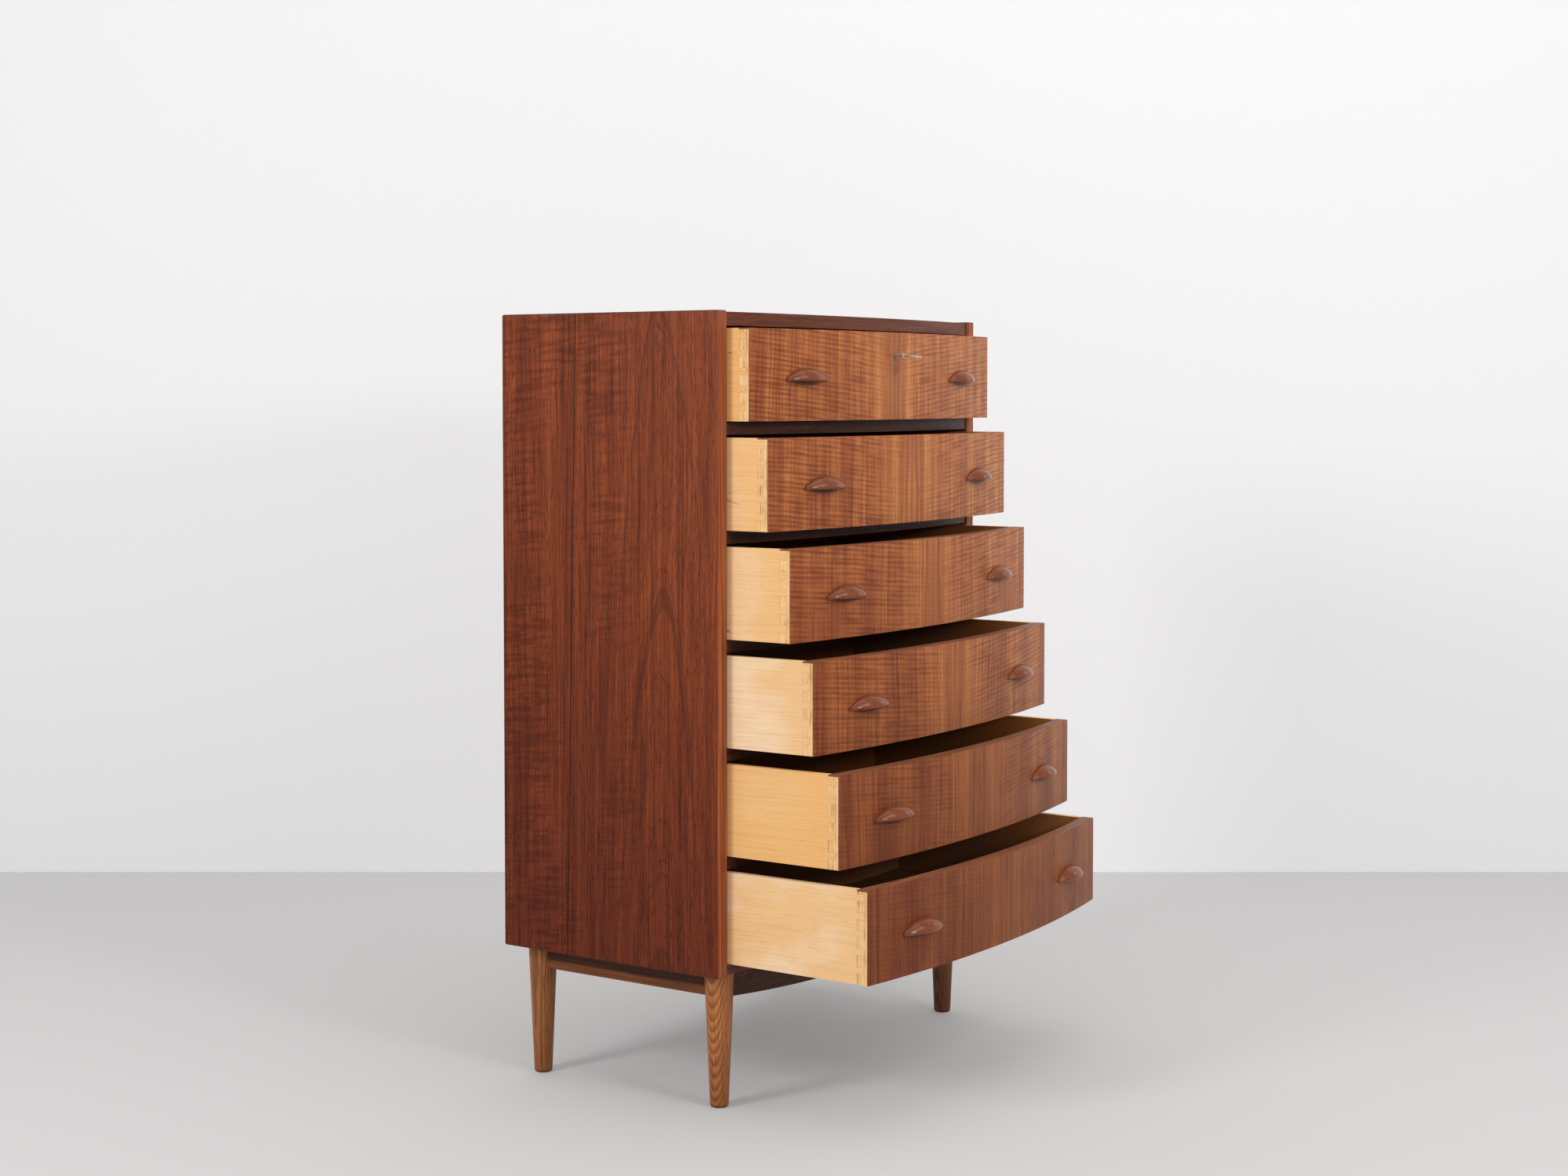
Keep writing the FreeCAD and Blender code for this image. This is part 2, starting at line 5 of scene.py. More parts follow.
import bmesh
import bpy
import numpy as np
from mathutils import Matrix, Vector


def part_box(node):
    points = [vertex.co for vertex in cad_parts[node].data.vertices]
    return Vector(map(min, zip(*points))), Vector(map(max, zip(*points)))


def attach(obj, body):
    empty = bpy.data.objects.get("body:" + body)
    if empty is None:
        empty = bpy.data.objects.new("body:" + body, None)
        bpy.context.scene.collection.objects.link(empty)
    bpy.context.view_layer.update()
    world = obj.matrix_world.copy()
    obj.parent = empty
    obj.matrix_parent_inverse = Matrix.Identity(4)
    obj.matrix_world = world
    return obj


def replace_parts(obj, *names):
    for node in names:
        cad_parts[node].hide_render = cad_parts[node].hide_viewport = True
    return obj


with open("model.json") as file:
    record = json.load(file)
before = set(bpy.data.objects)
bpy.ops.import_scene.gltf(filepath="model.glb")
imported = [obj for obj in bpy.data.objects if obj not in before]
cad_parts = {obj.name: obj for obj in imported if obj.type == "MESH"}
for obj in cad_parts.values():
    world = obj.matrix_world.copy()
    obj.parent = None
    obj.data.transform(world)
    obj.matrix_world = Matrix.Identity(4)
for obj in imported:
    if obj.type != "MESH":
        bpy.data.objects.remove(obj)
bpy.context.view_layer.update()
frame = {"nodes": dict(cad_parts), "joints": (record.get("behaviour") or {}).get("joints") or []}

# ------------------------------------------------------------------ the studio it stands in
# A pale floor that meets a plain pale wall, soft lamps all round and above, and a nearly level
# camera that looks at the left side and the drawn-out drawers. None of it belongs to the chest.


def stage_sheet(name, corners, colour, glow):
    """A flat four-cornered sheet with a plain matt finish that glows a little: the floor or the wall."""
    mesh = bpy.data.meshes.new(name)
    mesh.from_pydata([tuple(corner) for corner in corners], [], [(0, 1, 2, 3)])
    sheet = bpy.data.objects.new(name, mesh)
    bpy.context.scene.collection.objects.link(sheet)
    paint = bpy.data.materials.new(name)
    paint.use_nodes = True
    shader = paint.node_tree.nodes["Principled BSDF"]
    shader.inputs["Base Color"].default_value = (*colour, 1)
    shader.inputs["Roughness"].default_value = 0.8
    shader.inputs["Specular IOR Level"].default_value = 0.2
    shader.inputs["Emission Color"].default_value = (0.98, 0.98, 1.0, 1)
    shader.inputs["Emission Strength"].default_value = glow
    mesh.materials.append(paint)
    return paint


camera_turn, camera_dip = -0.981948, 0.041737
ahead = Vector((-math.sin(camera_turn), math.cos(camera_turn), 0))
across = Vector((math.cos(camera_turn), math.sin(camera_turn), 0))
camera_data = bpy.data.cameras.new("camera")
camera_data.sensor_width = 36.0
camera_data.lens = 55.048
camera_data.shift_y = -0.06
camera = bpy.data.objects.new("camera", camera_data)
camera.location = (-3.209463, -2.070213, 1.058550)
camera.rotation_euler = (math.pi / 2 - camera_dip, 0, camera_turn)
bpy.context.scene.collection.objects.link(camera)
bpy.context.scene.camera = camera

wall_distance, wall_height, floor_depth, reach = 5.272, 7.0, 14.0, 9.0
wall_foot = Vector((camera.location.x, camera.location.y, 0)) + ahead * wall_distance
left_foot, right_foot = wall_foot - across * reach, wall_foot + across * reach
nearer, raised = ahead * -floor_depth, Vector((0, 0, wall_height))
floor_corners = (left_foot, left_foot + nearer, right_foot + nearer, right_foot)
stage_sheet("studio_floor", floor_corners, (0.44, 0.43, 0.425), 0.16)
wall_corners = (left_foot, right_foot, right_foot + raised, left_foot + raised)
wall_tree = stage_sheet("studio_wall", wall_corners, (0.77, 0.77, 0.77), 0.09).node_tree
# The wall shows from its front only, so that it hides nothing from behind.
clear = wall_tree.nodes.new("ShaderNodeBsdfTransparent")
facing = wall_tree.nodes.new("ShaderNodeNewGeometry")
choice = wall_tree.nodes.new("ShaderNodeMixShader")
wall_tree.links.new(facing.outputs["Backfacing"], choice.inputs[0])
wall_tree.links.new(wall_tree.nodes["Principled BSDF"].outputs[0], choice.inputs[1])
wall_tree.links.new(clear.outputs[0], choice.inputs[2])
wall_tree.links.new(choice.outputs[0], wall_tree.nodes["Material Output"].inputs["Surface"])


def soft_lamp(name, place, target, width, height, power):
    """A rectangular soft lamp at a place, turned to a target."""
    lamp = bpy.data.lights.new(name, "AREA")
    lamp.shape = "RECTANGLE"
    lamp.size, lamp.size_y, lamp.energy = width, height, power
    holder = bpy.data.objects.new(name, lamp)
    holder.location = place
    holder.rotation_euler = (Vector(target) - Vector(place)).to_track_quat("-Z", "Y").to_euler()
    bpy.context.scene.collection.objects.link(holder)


soft_lamp("lamp_left", (-3.2, 1.0, 2.2), (0, 0, 0.8), 0.8, 1.0, 50)
soft_lamp("lamp_front", (-0.1, -3.3, 3.1), (0, 0, 1.0), 2.4, 1.6, 40)
soft_lamp("lamp_low", (-0.9, -3.4, 1.65), (0, -0.3, 0.7), 0.55, 0.40, 27)
soft_lamp("lamp_right", (3.3, -1.1, 1.1), (0.1, 0, 0.55), 1.8, 2.0, 56)
soft_lamp("lamp_above", (0.0, -0.5, 4.0), (0.1, -0.1, 0), 2.6, 2.6, 26)
world = bpy.data.worlds.new("studio_air")
world.use_nodes = True
world.node_tree.nodes["Background"].inputs["Color"].default_value = (1.0, 1.0, 1.0, 1)
world.node_tree.nodes["Background"].inputs["Strength"].default_value = 0.60
bpy.context.scene.world = world
bpy.context.scene.view_settings.view_transform = "Standard"

# ------------------------------------------------------------------ side panels
# Two upright panels of blockboard with solid teak edges, veneered in dark teak with the grain
# upright. They carry everything: top, bottom and rails are tongued into their inner faces.


class Finish:
    """A finish mixed from nodes on Object coordinates, which are metres from the chest's origin."""

    def __init__(self, name, roughness=0.42, **sockets):
        self.material = bpy.data.materials.new(name)
        self.material.use_nodes = True
        self.tree = self.material.node_tree
        self.shader = self.tree.nodes["Principled BSDF"]
        self.shader.inputs["Roughness"].default_value = roughness
        for socket, value in sockets.items():
            self.shader.inputs[socket.replace("_", " ")].default_value = value
        self.places = self.tree.nodes.new("ShaderNodeTexCoord").outputs["Object"]
        self.x, self.y, self.z = self.put("SeparateXYZ", self.places).outputs

    def put(self, kind, *wires, **settings):
        """Adds a node; its sockets take the wires in order, a link or a plain value, None is left."""
        node = self.tree.nodes.new("ShaderNode" + kind)
        for key, value in settings.items():
            setattr(node, key, value)
        for socket, wire in zip(node.inputs, wires):
            if isinstance(wire, bpy.types.NodeSocket):
                self.tree.links.new(wire, socket)
            elif wire is not None:
                socket.default_value = wire
        return node

    def sum(self, a, b):
        """Node for a + b; less, times and maths are its like for other sums."""
        return self.put("Math", a, b, operation="ADD").outputs[0]

    def less(self, a, b):
        return self.put("Math", a, b, operation="SUBTRACT").outputs[0]

    def times(self, a, b):
        return self.put("Math", a, b, operation="MULTIPLY").outputs[0]

    def maths(self, operation, *values):
        return self.put("Math", *values, operation=operation).outputs[0]

    def span(self, value, low, high, start=0.0, end=1.0):
        """Smooth step from start to end as the value goes from low to high."""
        return self.put("MapRange", value, low, high, start, end, interpolation_type="SMOOTHSTEP").outputs[0]

    def oval(self, across, up, half_width, half_height):
        """Share of the way out from an oval's middle, squared: 1 on its outline."""
        across, up = self.times(across, 1 / half_width), self.times(up, 1 / half_height)
        return self.sum(self.times(across, across), self.times(up, up))

    def noise(self, where, stretch, shift=(0, 0, 0), detail=2.0, rough=0.5, bend=0.0):
        """Cloudy noise about 0.5, looked up at three lengths that are stretched and shifted."""
        point = self.put("CombineXYZ", *where).outputs[0]
        node = self.put("TexNoise", self.put("Mapping", point, shift, (0, 0, 0), stretch).outputs[0])
        for key, value in (("Scale", 1.0), ("Detail", detail), ("Roughness", rough), ("Distortion", bend)):
            node.inputs[key].default_value = value
        return node.outputs[0]

    def cloud(self, stretch, shift=(0, 0, 0), **looks):
        """Noise looked up at each point's own x, y and z."""
        return self.noise((self.x, self.y, self.z), stretch, shift, **looks)

    def ramp(self, share, *stops):
        """Colours along a share: (place, (r, g, b)) or (place, grey)."""
        node = self.put("ValToRGB", share)
        elements = node.color_ramp.elements
        while len(elements) < len(stops):
            elements.new(0.5)
        for element, (spot, colour) in zip(elements, stops):
            element.position = spot
            element.color = (*colour, 1) if isinstance(colour, tuple) else (colour, colour, colour, 1)
        return node.outputs[0]

    def blend(self, share, a, b, how="MIX"):
        """Colour a turned by a share into colour b."""
        node = self.put("Mix", data_type="RGBA", blend_type=how)
        for socket, wire in ((node.inputs[0], share), (node.inputs[6], a), (node.inputs[7], b)):
            if isinstance(wire, bpy.types.NodeSocket):
                self.tree.links.new(wire, socket)
            else:
                socket.default_value = (*wire, 1) if isinstance(wire, tuple) else wire
        return node.outputs[2]

    def tint(self, colour, tone):
        """A colour multiplied by a tone: grey 1 leaves it as it is."""
        return self.blend(1.0, colour, tone, "MULTIPLY")

    def wear(self, colour, sheen=None, height=None, depth=0.0002):
        """Sends a colour, a roughness and a bump to the shader."""
        self.tree.links.new(colour, self.shader.inputs["Base Color"])
        if sheen is not None:
            self.tree.links.new(sheen, self.shader.inputs["Roughness"])
        if height is not None:
            bump = self.put("Bump")
            bump.inputs["Strength"].default_value = 0.6
            bump.inputs["Distance"].default_value = depth
            self.tree.links.new(height, bump.inputs["Height"])
            self.tree.links.new(bump.outputs[0], self.shader.inputs["Normal"])
        return self.material


def dress(finish, *nodes):
    """Gives CAD nodes one finish."""
    for name in nodes:
        mesh = frame["nodes"][name].data
        mesh.materials.clear()
        mesh.materials.append(finish)


def side_teak():
    """Dark teak, grain upright. A tall cathedral, z + 72 (y - heart)^2 looked up in noise, stands in
    the front two thirds. A veneer joint leans at the back third, and behind it the stripes are
    straight under a fine cross ripple. The front edge is a lipping, and the top edge has a dark rim."""
    low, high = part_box("side_panel_left")
    wood = Finish("side_teak", 0.42, Specular_IOR_Level=0.16)
    x, y, z = wood.x, wood.y, wood.z
    heart, joint_foot, joint_lean = 0.040, 0.2226, -0.0203
    wander = wood.cloud((3, 9, 1.3), detail=3)
    sway = wood.times(wood.less(wander, 0.5), 0.03)
    from_joint = wood.less(y, wood.sum(wood.times(z, joint_lean), joint_foot))
    behind = wood.span(from_joint, -0.0002, 0.0002)
    from_heart = wood.sum(wood.less(y, heart), sway)
    arch = wood.times(wood.times(from_heart, from_heart), 72)
    swell = wood.cloud((2, 16, 2.2), (3, 1, 0), detail=3)
    figure = wood.sum(wood.sum(z, arch), wood.times(swell, 0.20))
    rings = wood.noise((figure, 0.5, 0.0), (9, 1, 1), detail=2, rough=0.5)
    fine = wood.noise((x, wood.sum(y, sway), z), (260, 430, 6), detail=3, rough=0.65)
    stripes = wood.cloud((40, 62, 0.5), (0, 4, 0), detail=4, rough=0.6)
    figured = wood.blend(behind, wood.blend(0.65, rings, stripes), stripes)
    tone = wood.blend(0.58, figured, fine)
    colour = wood.ramp(tone, (0.36, (0.085, 0.016, 0.005)), (0.465, (0.170, 0.036, 0.011)),
                       (0.535, (0.230, 0.051, 0.016)), (0.64, (0.32, 0.080, 0.025)))
    from_ring = wood.maths("ABSOLUTE", wood.less(rings, 0.5))
    near_heart = wood.span(wood.maths("ABSOLUTE", from_heart), 0.05, 0.13, 1.0, 0.15)
    ring_share = wood.times(near_heart, wood.less(1.0, behind))
    ring_share = wood.times(wood.span(from_ring, 0.003, 0.016, 0.40, 0.0), ring_share)
    colour = wood.blend(ring_share, colour, (0.060, 0.013, 0.006))
    leaning = wood.sum(z, wood.times(y, 0.10))
    ripple = wood.noise((x, y, leaning), (1, 20, 170), (0, 0, 2), detail=1)
    where = wood.cloud((1, 9, 4), (5, 0, 0), detail=1)
    ripple_share = wood.times(wood.span(where, 0.34, 0.54), wood.span(y, 0.04, 0.18, 0.06, 1.0))
    ripple_tone = wood.ramp(ripple, (0.38, (0.74, 0.68, 0.64)), (0.5, 1.0), (0.62, (1.16, 1.19, 1.19)))
    colour = wood.blend(ripple_share, colour, wood.tint(colour, ripple_tone))
    pores = wood.noise((x, wood.sum(y, sway), z), (900, 900, 60), detail=1)
    colour = wood.blend(wood.span(pores, 0.55, 0.66, 0.0, 0.65), colour, (0.040, 0.009, 0.004))
    joint_line = wood.maths("ABSOLUTE", from_joint)
    colour = wood.blend(wood.span(joint_line, 0.0005, 0.0014, 0.92, 0.0), colour, (0.022, 0.006, 0.003))
    streak = wood.maths("ABSOLUTE", wood.less(from_joint, 0.0125))
    colour = wood.blend(wood.span(streak, 0.0004, 0.0012, 0.6, 0.0), colour, (0.045, 0.011, 0.005))
    # Darker towards the bottom: painted shade for light from above falling off, and in part the veneer's own
    # darker colour.
    foot = wood.ramp(wood.span(z, 0.2, 1.0), (0.0, (0.66, 0.50, 0.40)), (1.0, (1.04, 0.98, 0.90)))
    colour = wood.tint(colour, foot)
    rear = wood.ramp(wood.span(y, 0.02, 0.32), (0.0, 1.0), (1.0, (0.85, 0.79, 0.73)))
    colour = wood.tint(colour, rear)
    lipping = wood.ramp(wood.cloud((240, 90, 4), detail=3),
                        (0.35, (0.18, 0.044, 0.015)), (0.65, (0.38, 0.105, 0.036)))
    colour = wood.blend(wood.span(y, low.y + 0.00094, low.y + 0.00234, 1.0, 0.0), colour, lipping)
    below_top = wood.less(high.z, z)
    top_edge = wood.ramp(wood.span(below_top, 0.0001, 0.0007),
                         (0.0, (0.15, 0.040, 0.016)), (1.0, (0.055, 0.016, 0.008)))
    colour = wood.blend(wood.span(below_top, 0.0010, 0.0024, 1.0, 0.0), colour, top_edge)
    relief = wood.less(fine, wood.span(pores, 0.56, 0.68))
    return wood.wear(colour, wood.span(pores, 0.45, 0.7, 0.36, 0.55), relief, 0.0001)


dress(side_teak(), "side_panel_left", "side_panel_right")

# ------------------------------------------------------------------ top, bottom and divider rails
# Bowed boards between the sides, veneered in teak with a solid teak edge in front. The five
# divider rails between the drawers are solid, darker and 70 mm deep. All are tongued into the sides.


def cross_teak(name, dark, mid, light):
    """Teak whose grain runs across, from side to side: long streaks along X that wander in depth."""
    wood = Finish(name, 0.42, Specular_IOR_Level=0.18)
    x, y, z = wood.x, wood.y, wood.z
    wander = wood.cloud((2, 6, 8), detail=2)
    sway = wood.times(wood.less(wander, 0.5), 0.03)
    swaying = (x, wood.sum(y, sway), wood.sum(z, sway))
    streaks = wood.noise(swaying, (1.4, 70, 180), detail=4, rough=0.6)
    fine = wood.cloud((8, 500, 700), detail=2)
    tone = wood.blend(0.45, streaks, fine)
    colour = wood.ramp(tone, (0.32, dark), (0.5, mid), (0.7, light))
    pores = wood.cloud((30, 1100, 1100), detail=1)
    colour = wood.blend(wood.span(pores, 0.6, 0.72, 0.0, 0.5), colour, tuple(0.3 * part for part in dark))
    return wood.wear(colour, None, fine, 0.0001)


top_teak = cross_teak("top_teak", (0.060, 0.017, 0.009), (0.14, 0.037, 0.017), (0.22, 0.063, 0.028))
dress(top_teak, "top_panel", "bottom_panel")
rail_wood = cross_teak("rail_wood", (0.030, 0.011, 0.007), (0.085, 0.026, 0.013), (0.15, 0.046, 0.021))
dress(rail_wood, "divider_rails")

# ------------------------------------------------------------------ back panel
# A sheet of plywood in rebates at the back of the sides and the top, veneered to match outside
# and held by small slotted screws.


def sheet_ply(name, dark, mid, light, along):
    """Plain rotary-cut veneer: broad soft flames, drawn out along the grain, with fine short flecks."""
    wood = Finish(name, 0.55, Specular_IOR_Level=0.2)
    flames = wood.cloud(along, detail=5, rough=0.6, bend=0.6)
    flecks = wood.cloud(tuple(9 * part for part in along), detail=2)
    tone = wood.blend(0.35, flames, flecks)
    colour = wood.ramp(tone, (0.3, dark), (0.5, mid), (0.72, light))
    return wood.wear(colour, None, flecks, 0.0001)


back_board = sheet_ply("back_board", (0.15, 0.055, 0.024), (0.25, 0.105, 0.046), (0.34, 0.160, 0.076),
                       along=(26, 20, 2.0))
dress(back_board, "back_panel")


def add_piece(name, points, faces, finish, body, sharp=0.7):
    """Makes a piece at the origin that rides on a body, smooth but for folds past sharp radians."""
    mesh = bpy.data.meshes.new(name)
    corners = np.asarray(points, float).reshape(-1, 3).tolist()
    mesh.from_pydata(corners, [], [list(map(int, face)) for face in faces])
    welded = bmesh.new()
    welded.from_mesh(mesh)
    bmesh.ops.remove_doubles(welded, verts=welded.verts, dist=1e-6)
    welded.to_mesh(mesh)
    welded.free()
    mesh.polygons.foreach_set("use_smooth", np.ones(len(mesh.polygons), bool))
    mesh.set_sharp_from_angle(angle=sharp)
    mesh.materials.append(finish)
    piece = bpy.data.objects.new(name, mesh)
    bpy.context.scene.collection.objects.link(piece)
    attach(piece, body)
    return piece


def grid_faces(rows, columns, wrap=False):
    """Quads of a grid of points kept row by row; with wrap each row closes on itself."""
    row = np.arange(rows - 1)[:, None] * columns
    column = np.arange(columns if wrap else columns - 1)[None, :]
    following = (column + 1) % columns
    return np.stack(np.broadcast_arrays(
        row + column, row + following, row + columns + following, row + columns + column), -1).reshape(-1, 4)


def screw_heads(places, towards, radius):
    """Slotted countersunk heads. Height over a disc of (share of radius, turn) is a low dome, dome
    times (1 - share^2), less a straight slot. The discs stand at places and face towards, each slot
    has its own angle, and a short skirt goes down into the wood. Heights are shares of the radius."""
    rings, turns = 7, 24
    dome, slot_depth, slot_half, skirt = 0.16, 0.22, 0.17, 0.6
    share = np.concatenate([np.linspace(0.0, 1.0, rings), [1.0]])[:, None]
    turn = np.linspace(0, 2 * np.pi, turns, endpoint=False)[None, :]
    towards = np.asarray(towards, float)
    side = np.array([towards[1], towards[2], towards[0]])
    up = np.cross(towards, side)
    points, faces = [], []
    for index, middle in enumerate(places):
        angle = 0.9 * index + 0.3
        across_slot = share * np.sin(turn - angle)
        height = dome * (1 - share ** 2) - slot_depth * (np.abs(across_slot) < slot_half)
        height[-1] = -skirt
        reach_out = radius * share
        disc = (np.asarray(middle) + (reach_out * np.cos(turn))[..., None] * side
                + (reach_out * np.sin(turn))[..., None] * up + (radius * height)[..., None] * towards)
        start = index * disc.shape[0] * turns
        points.append(disc.reshape(-1, 3))
        faces.append(grid_faces(disc.shape[0], turns, True)[:, ::-1] + start)
        last = start + (disc.shape[0] - 1) * turns
        faces.append(np.arange(last, last + turns)[None, ::-1])
    return np.concatenate(points), [face for group in faces for face in group]


def plain_metal(name, colour, roughness, metallic=1.0):
    """Metal with fine scratches and duller patches."""
    metal = Finish(name, roughness, Metallic=metallic)
    patches = metal.cloud((90, 90, 90), detail=3)
    scratches = metal.cloud((300, 2500, 2500), detail=1)
    shade = metal.ramp(patches, (0.3, tuple(0.62 * part for part in colour)), (0.6, colour))
    dulled = metal.span(patches, 0.3, 0.7, roughness + 0.18, roughness - 0.05)
    return metal.wear(shade, dulled, scratches, 0.00003)


lock_steel = plain_metal("lock_steel", (0.46, 0.44, 0.41), 0.38)
back_low, back_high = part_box("back_panel")
side_inset, top_inset, screw_spacing, back_screw = 0.006, 0.005, 0.2, 0.0030
screw_rows = np.linspace(back_low.z + 0.03, back_high.z - 0.012, 6)
screw_column = back_high.x - side_inset
back_screws = [(sign * screw_column, back_high.y, row) for row in screw_rows for sign in (-1, 1)]
back_screws += [(index * screw_spacing, back_high.y, back_high.z - top_inset) for index in (-1, 0, 1)]
points, faces = screw_heads(back_screws, (0, 1, 0), back_screw)
add_piece("back_screws", points, faces, lock_steel, "case")

# ------------------------------------------------------------------ runners and stops
# Strips of pale hardwood that the drawers slide on, glued to the sides behind the rails, and small
# blocks glued on the rails, which the back of a drawer's front meets when it is shut.


def plain_hardwood(name, dark, mid, light):
    """Pale close-grained hardwood, grain along Y: long faint lines, flecks and darker patches."""
    wood = Finish(name, 0.5, Specular_IOR_Level=0.2)
    x, y, z = wood.x, wood.y, wood.z
    wander = wood.cloud((4, 3, 5), detail=2)
    sway = wood.times(wood.less(wander, 0.5), 0.02)
    lines = wood.noise((x, y, wood.sum(z, sway)), (150, 4, 220), detail=4, rough=0.65)
    patches = wood.cloud((7, 5, 9), (0.4, 0.2, 0), detail=3)
    tone = wood.blend(0.5, lines, patches)
    colour = wood.ramp(tone, (0.28, dark), (0.5, mid), (0.72, light))
    flecks = wood.cloud((700, 45, 900), detail=1)
    colour = wood.blend(wood.span(flecks, 0.62, 0.74, 0.0, 0.35), colour, dark)
    return wood.wear(colour, None, lines, 0.00008)


runner_wood = plain_hardwood("runner_wood", (0.30, 0.15, 0.065), (0.46, 0.26, 0.12), (0.56, 0.34, 0.17))
dress(runner_wood, "drawer_runners", "drawer_stops")

# ------------------------------------------------------------------ base
# Four turned oak legs joined by rails that are tenoned into them: a bowed apron in front, straight
# rails at the sides and the back, and a screwed block across each inner corner.


leg_top, leg_foot, foot_ease = 0.0226, 0.0140, 0.0036
leg_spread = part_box("legs_front")[1].x - leg_top
front_row, back_row = [(low.y + high.y) / 2 for low, high in (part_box("legs_front"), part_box("legs_back"))]


def turned_oak(name, lean, shade, right_painted_shade):
    """Oak as solid wood. Growth rings, ring_pitch apart, lie about a heart that stands beside each
    leg's axis and leans by lean, so the turned taper cuts them into nested arcs, with open pores
    along it. It is darker low down and at the very foot, and the right-hand legs carry painted shade."""
    wood = Finish(name, 0.40, Specular_IOR_Level=0.25)
    x, y, z = wood.x, wood.y, wood.z
    heart_aside, heart_height, ring_pitch = 0.056, 0.1, 0.0031
    heart_turn = (0.998, 0.062)
    leg_x = wood.less(wood.maths("ABSOLUTE", x), leg_spread)
    from_middle = wood.maths("ABSOLUTE", wood.less(y, (back_row + front_row) / 2))
    leg_y = wood.less(from_middle, (back_row - front_row) / 2)
    swell = wood.cloud((14, 14, 9), detail=2)
    heart = wood.sum(wood.times(z, lean), -heart_aside - heart_height * lean)
    heart_x = wood.less(leg_x, wood.times(heart, heart_turn[0]))
    heart_y = wood.less(leg_y, wood.times(heart, heart_turn[1]))
    ring = wood.maths("SQRT", wood.sum(wood.times(heart_x, heart_x), wood.times(heart_y, heart_y)))
    ring = wood.sum(ring, wood.times(swell, 0.007))
    rings = wood.maths("FRACT", wood.times(ring, 1 / ring_pitch))
    pores = wood.cloud((800, 800, 22), detail=1)
    fine = wood.cloud((420, 420, 7), detail=2)
    band = wood.ramp(rings, (0.0, (0.24, 0.085, 0.026)), (0.22, (0.28, 0.098, 0.029)),
                     (0.55, (0.43, 0.160, 0.046)), (0.85, (0.47, 0.180, 0.052)), (1.0, (0.29, 0.103, 0.031)))
    tone = wood.ramp(fine, (0.34, 0.74 * shade), (0.5, shade), (0.66, 1.18 * shade))
    colour = wood.tint(band, tone)
    # Darker low down.
    darker_low_down = wood.ramp(wood.span(z, 0.0, 0.13), (0.0, (0.72, 0.62, 0.58)), (1.0, (1.0, 0.96, 0.93)))
    colour = wood.tint(colour, darker_low_down)
    # Painted shade: the right-hand legs, standing in the chest's shadow, are darkened.
    darker = wood.ramp(wood.span(x, -0.1, 0.1), (0.0, 1.0), (1.0, right_painted_shade))
    colour = wood.tint(colour, darker)
    colour = wood.blend(wood.span(pores, 0.60, 0.72, 0.0, 0.6), colour, (0.06, 0.022, 0.008))
    # Darker still in the last few millimetres at the foot.
    colour = wood.blend(wood.span(z, 0.0015, 0.006, 0.7, 0.0), colour, (0.045, 0.018, 0.009))
    return wood.wear(colour, None, wood.less(fine, wood.span(pores, 0.58, 0.7)), 0.00015)


def turned_legs(name, low, high, finish):
    """Two legs as surfaces of revolution: x = middle + radius cos(turn), y = row + radius sin(turn).
    The profile (radius, height) is a flat foot eased by a quarter circle, a straight taper and a
    flat top, with a few small rings near the axis."""
    turns, taper_steps = 64, 30
    turn = np.linspace(0, 2 * np.pi, turns, endpoint=False)
    corner = np.linspace(-np.pi / 2, 0, 5)
    radius = np.concatenate([[0.004, 0.009], leg_foot - foot_ease + foot_ease * np.cos(corner),
                             np.linspace(leg_foot, leg_top, taper_steps)[1:], [0.012, 0.004]])
    height = np.concatenate([[0, 0], foot_ease + foot_ease * np.sin(corner),
                             np.linspace(foot_ease, high.z, taper_steps)[1:], [high.z, high.z]])
    points, faces = [], []
    for index, middle_x in enumerate((low.x + leg_top, high.x - leg_top)):
        ring = np.stack(np.broadcast_arrays(middle_x + radius[:, None] * np.cos(turn),
                                            (low.y + high.y) / 2 + radius[:, None] * np.sin(turn),
                                            height[:, None]), -1)
        start = index * ring.shape[0] * turns
        points.append(ring.reshape(-1, 3))
        faces += list(grid_faces(ring.shape[0], turns, True) + start)
        faces.append(np.arange(start, start + turns)[::-1])
        last = start + (ring.shape[0] - 1) * turns
        faces.append(np.arange(last, last + turns))
    return add_piece(name, np.concatenate(points), faces, finish, "case", 0.9)


for name, lean, shade, right_painted_shade in (("legs_front", -0.13, 1.0, 0.42), ("legs_back", 0.035, 0.78, 0.85)):
    oak = turned_oak(name + "_oak", lean, shade, right_painted_shade)
    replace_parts(turned_legs("turned_" + name, *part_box(name), oak), name)

base_teak = cross_teak("base_wood", (0.026, 0.008, 0.004), (0.060, 0.018, 0.007), (0.115, 0.036, 0.014))
dress(base_teak, "base_apron", "base_rail_back")


def base_side_wood():
    """Side rails with a painted shadow: dark above, where the overhanging side panel shades them, and
    lighter brown along the lower band, which the light reaches.
    """
    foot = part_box("base_rail_left")[0].z
    wood = Finish("base_side_wood", 0.5, Specular_IOR_Level=0.2)
    lines = wood.cloud((120, 6, 330), detail=4, rough=0.6)
    painted_shadow_colour = wood.ramp(lines, (0.35, (0.030, 0.008, 0.003)), (0.65, (0.085, 0.021, 0.006)))
    painted_lit_colour = wood.ramp(lines, (0.35, (0.105, 0.031, 0.009)), (0.65, (0.215, 0.068, 0.019)))
    ragged = wood.sum(wood.z, wood.times(wood.cloud((1, 14, 1), detail=2), 0.003))
    # Painted shadow: the upper part takes the shadowed colour, the lower band the lit one.
    colour = wood.blend(wood.span(ragged, foot + 0.0135, foot + 0.0155), painted_lit_colour, painted_shadow_colour)
    return wood.wear(colour, None, lines, 0.00008)


dress(base_side_wood(), "base_rail_left", "base_rail_right")
dress(runner_wood, "corner_blocks")
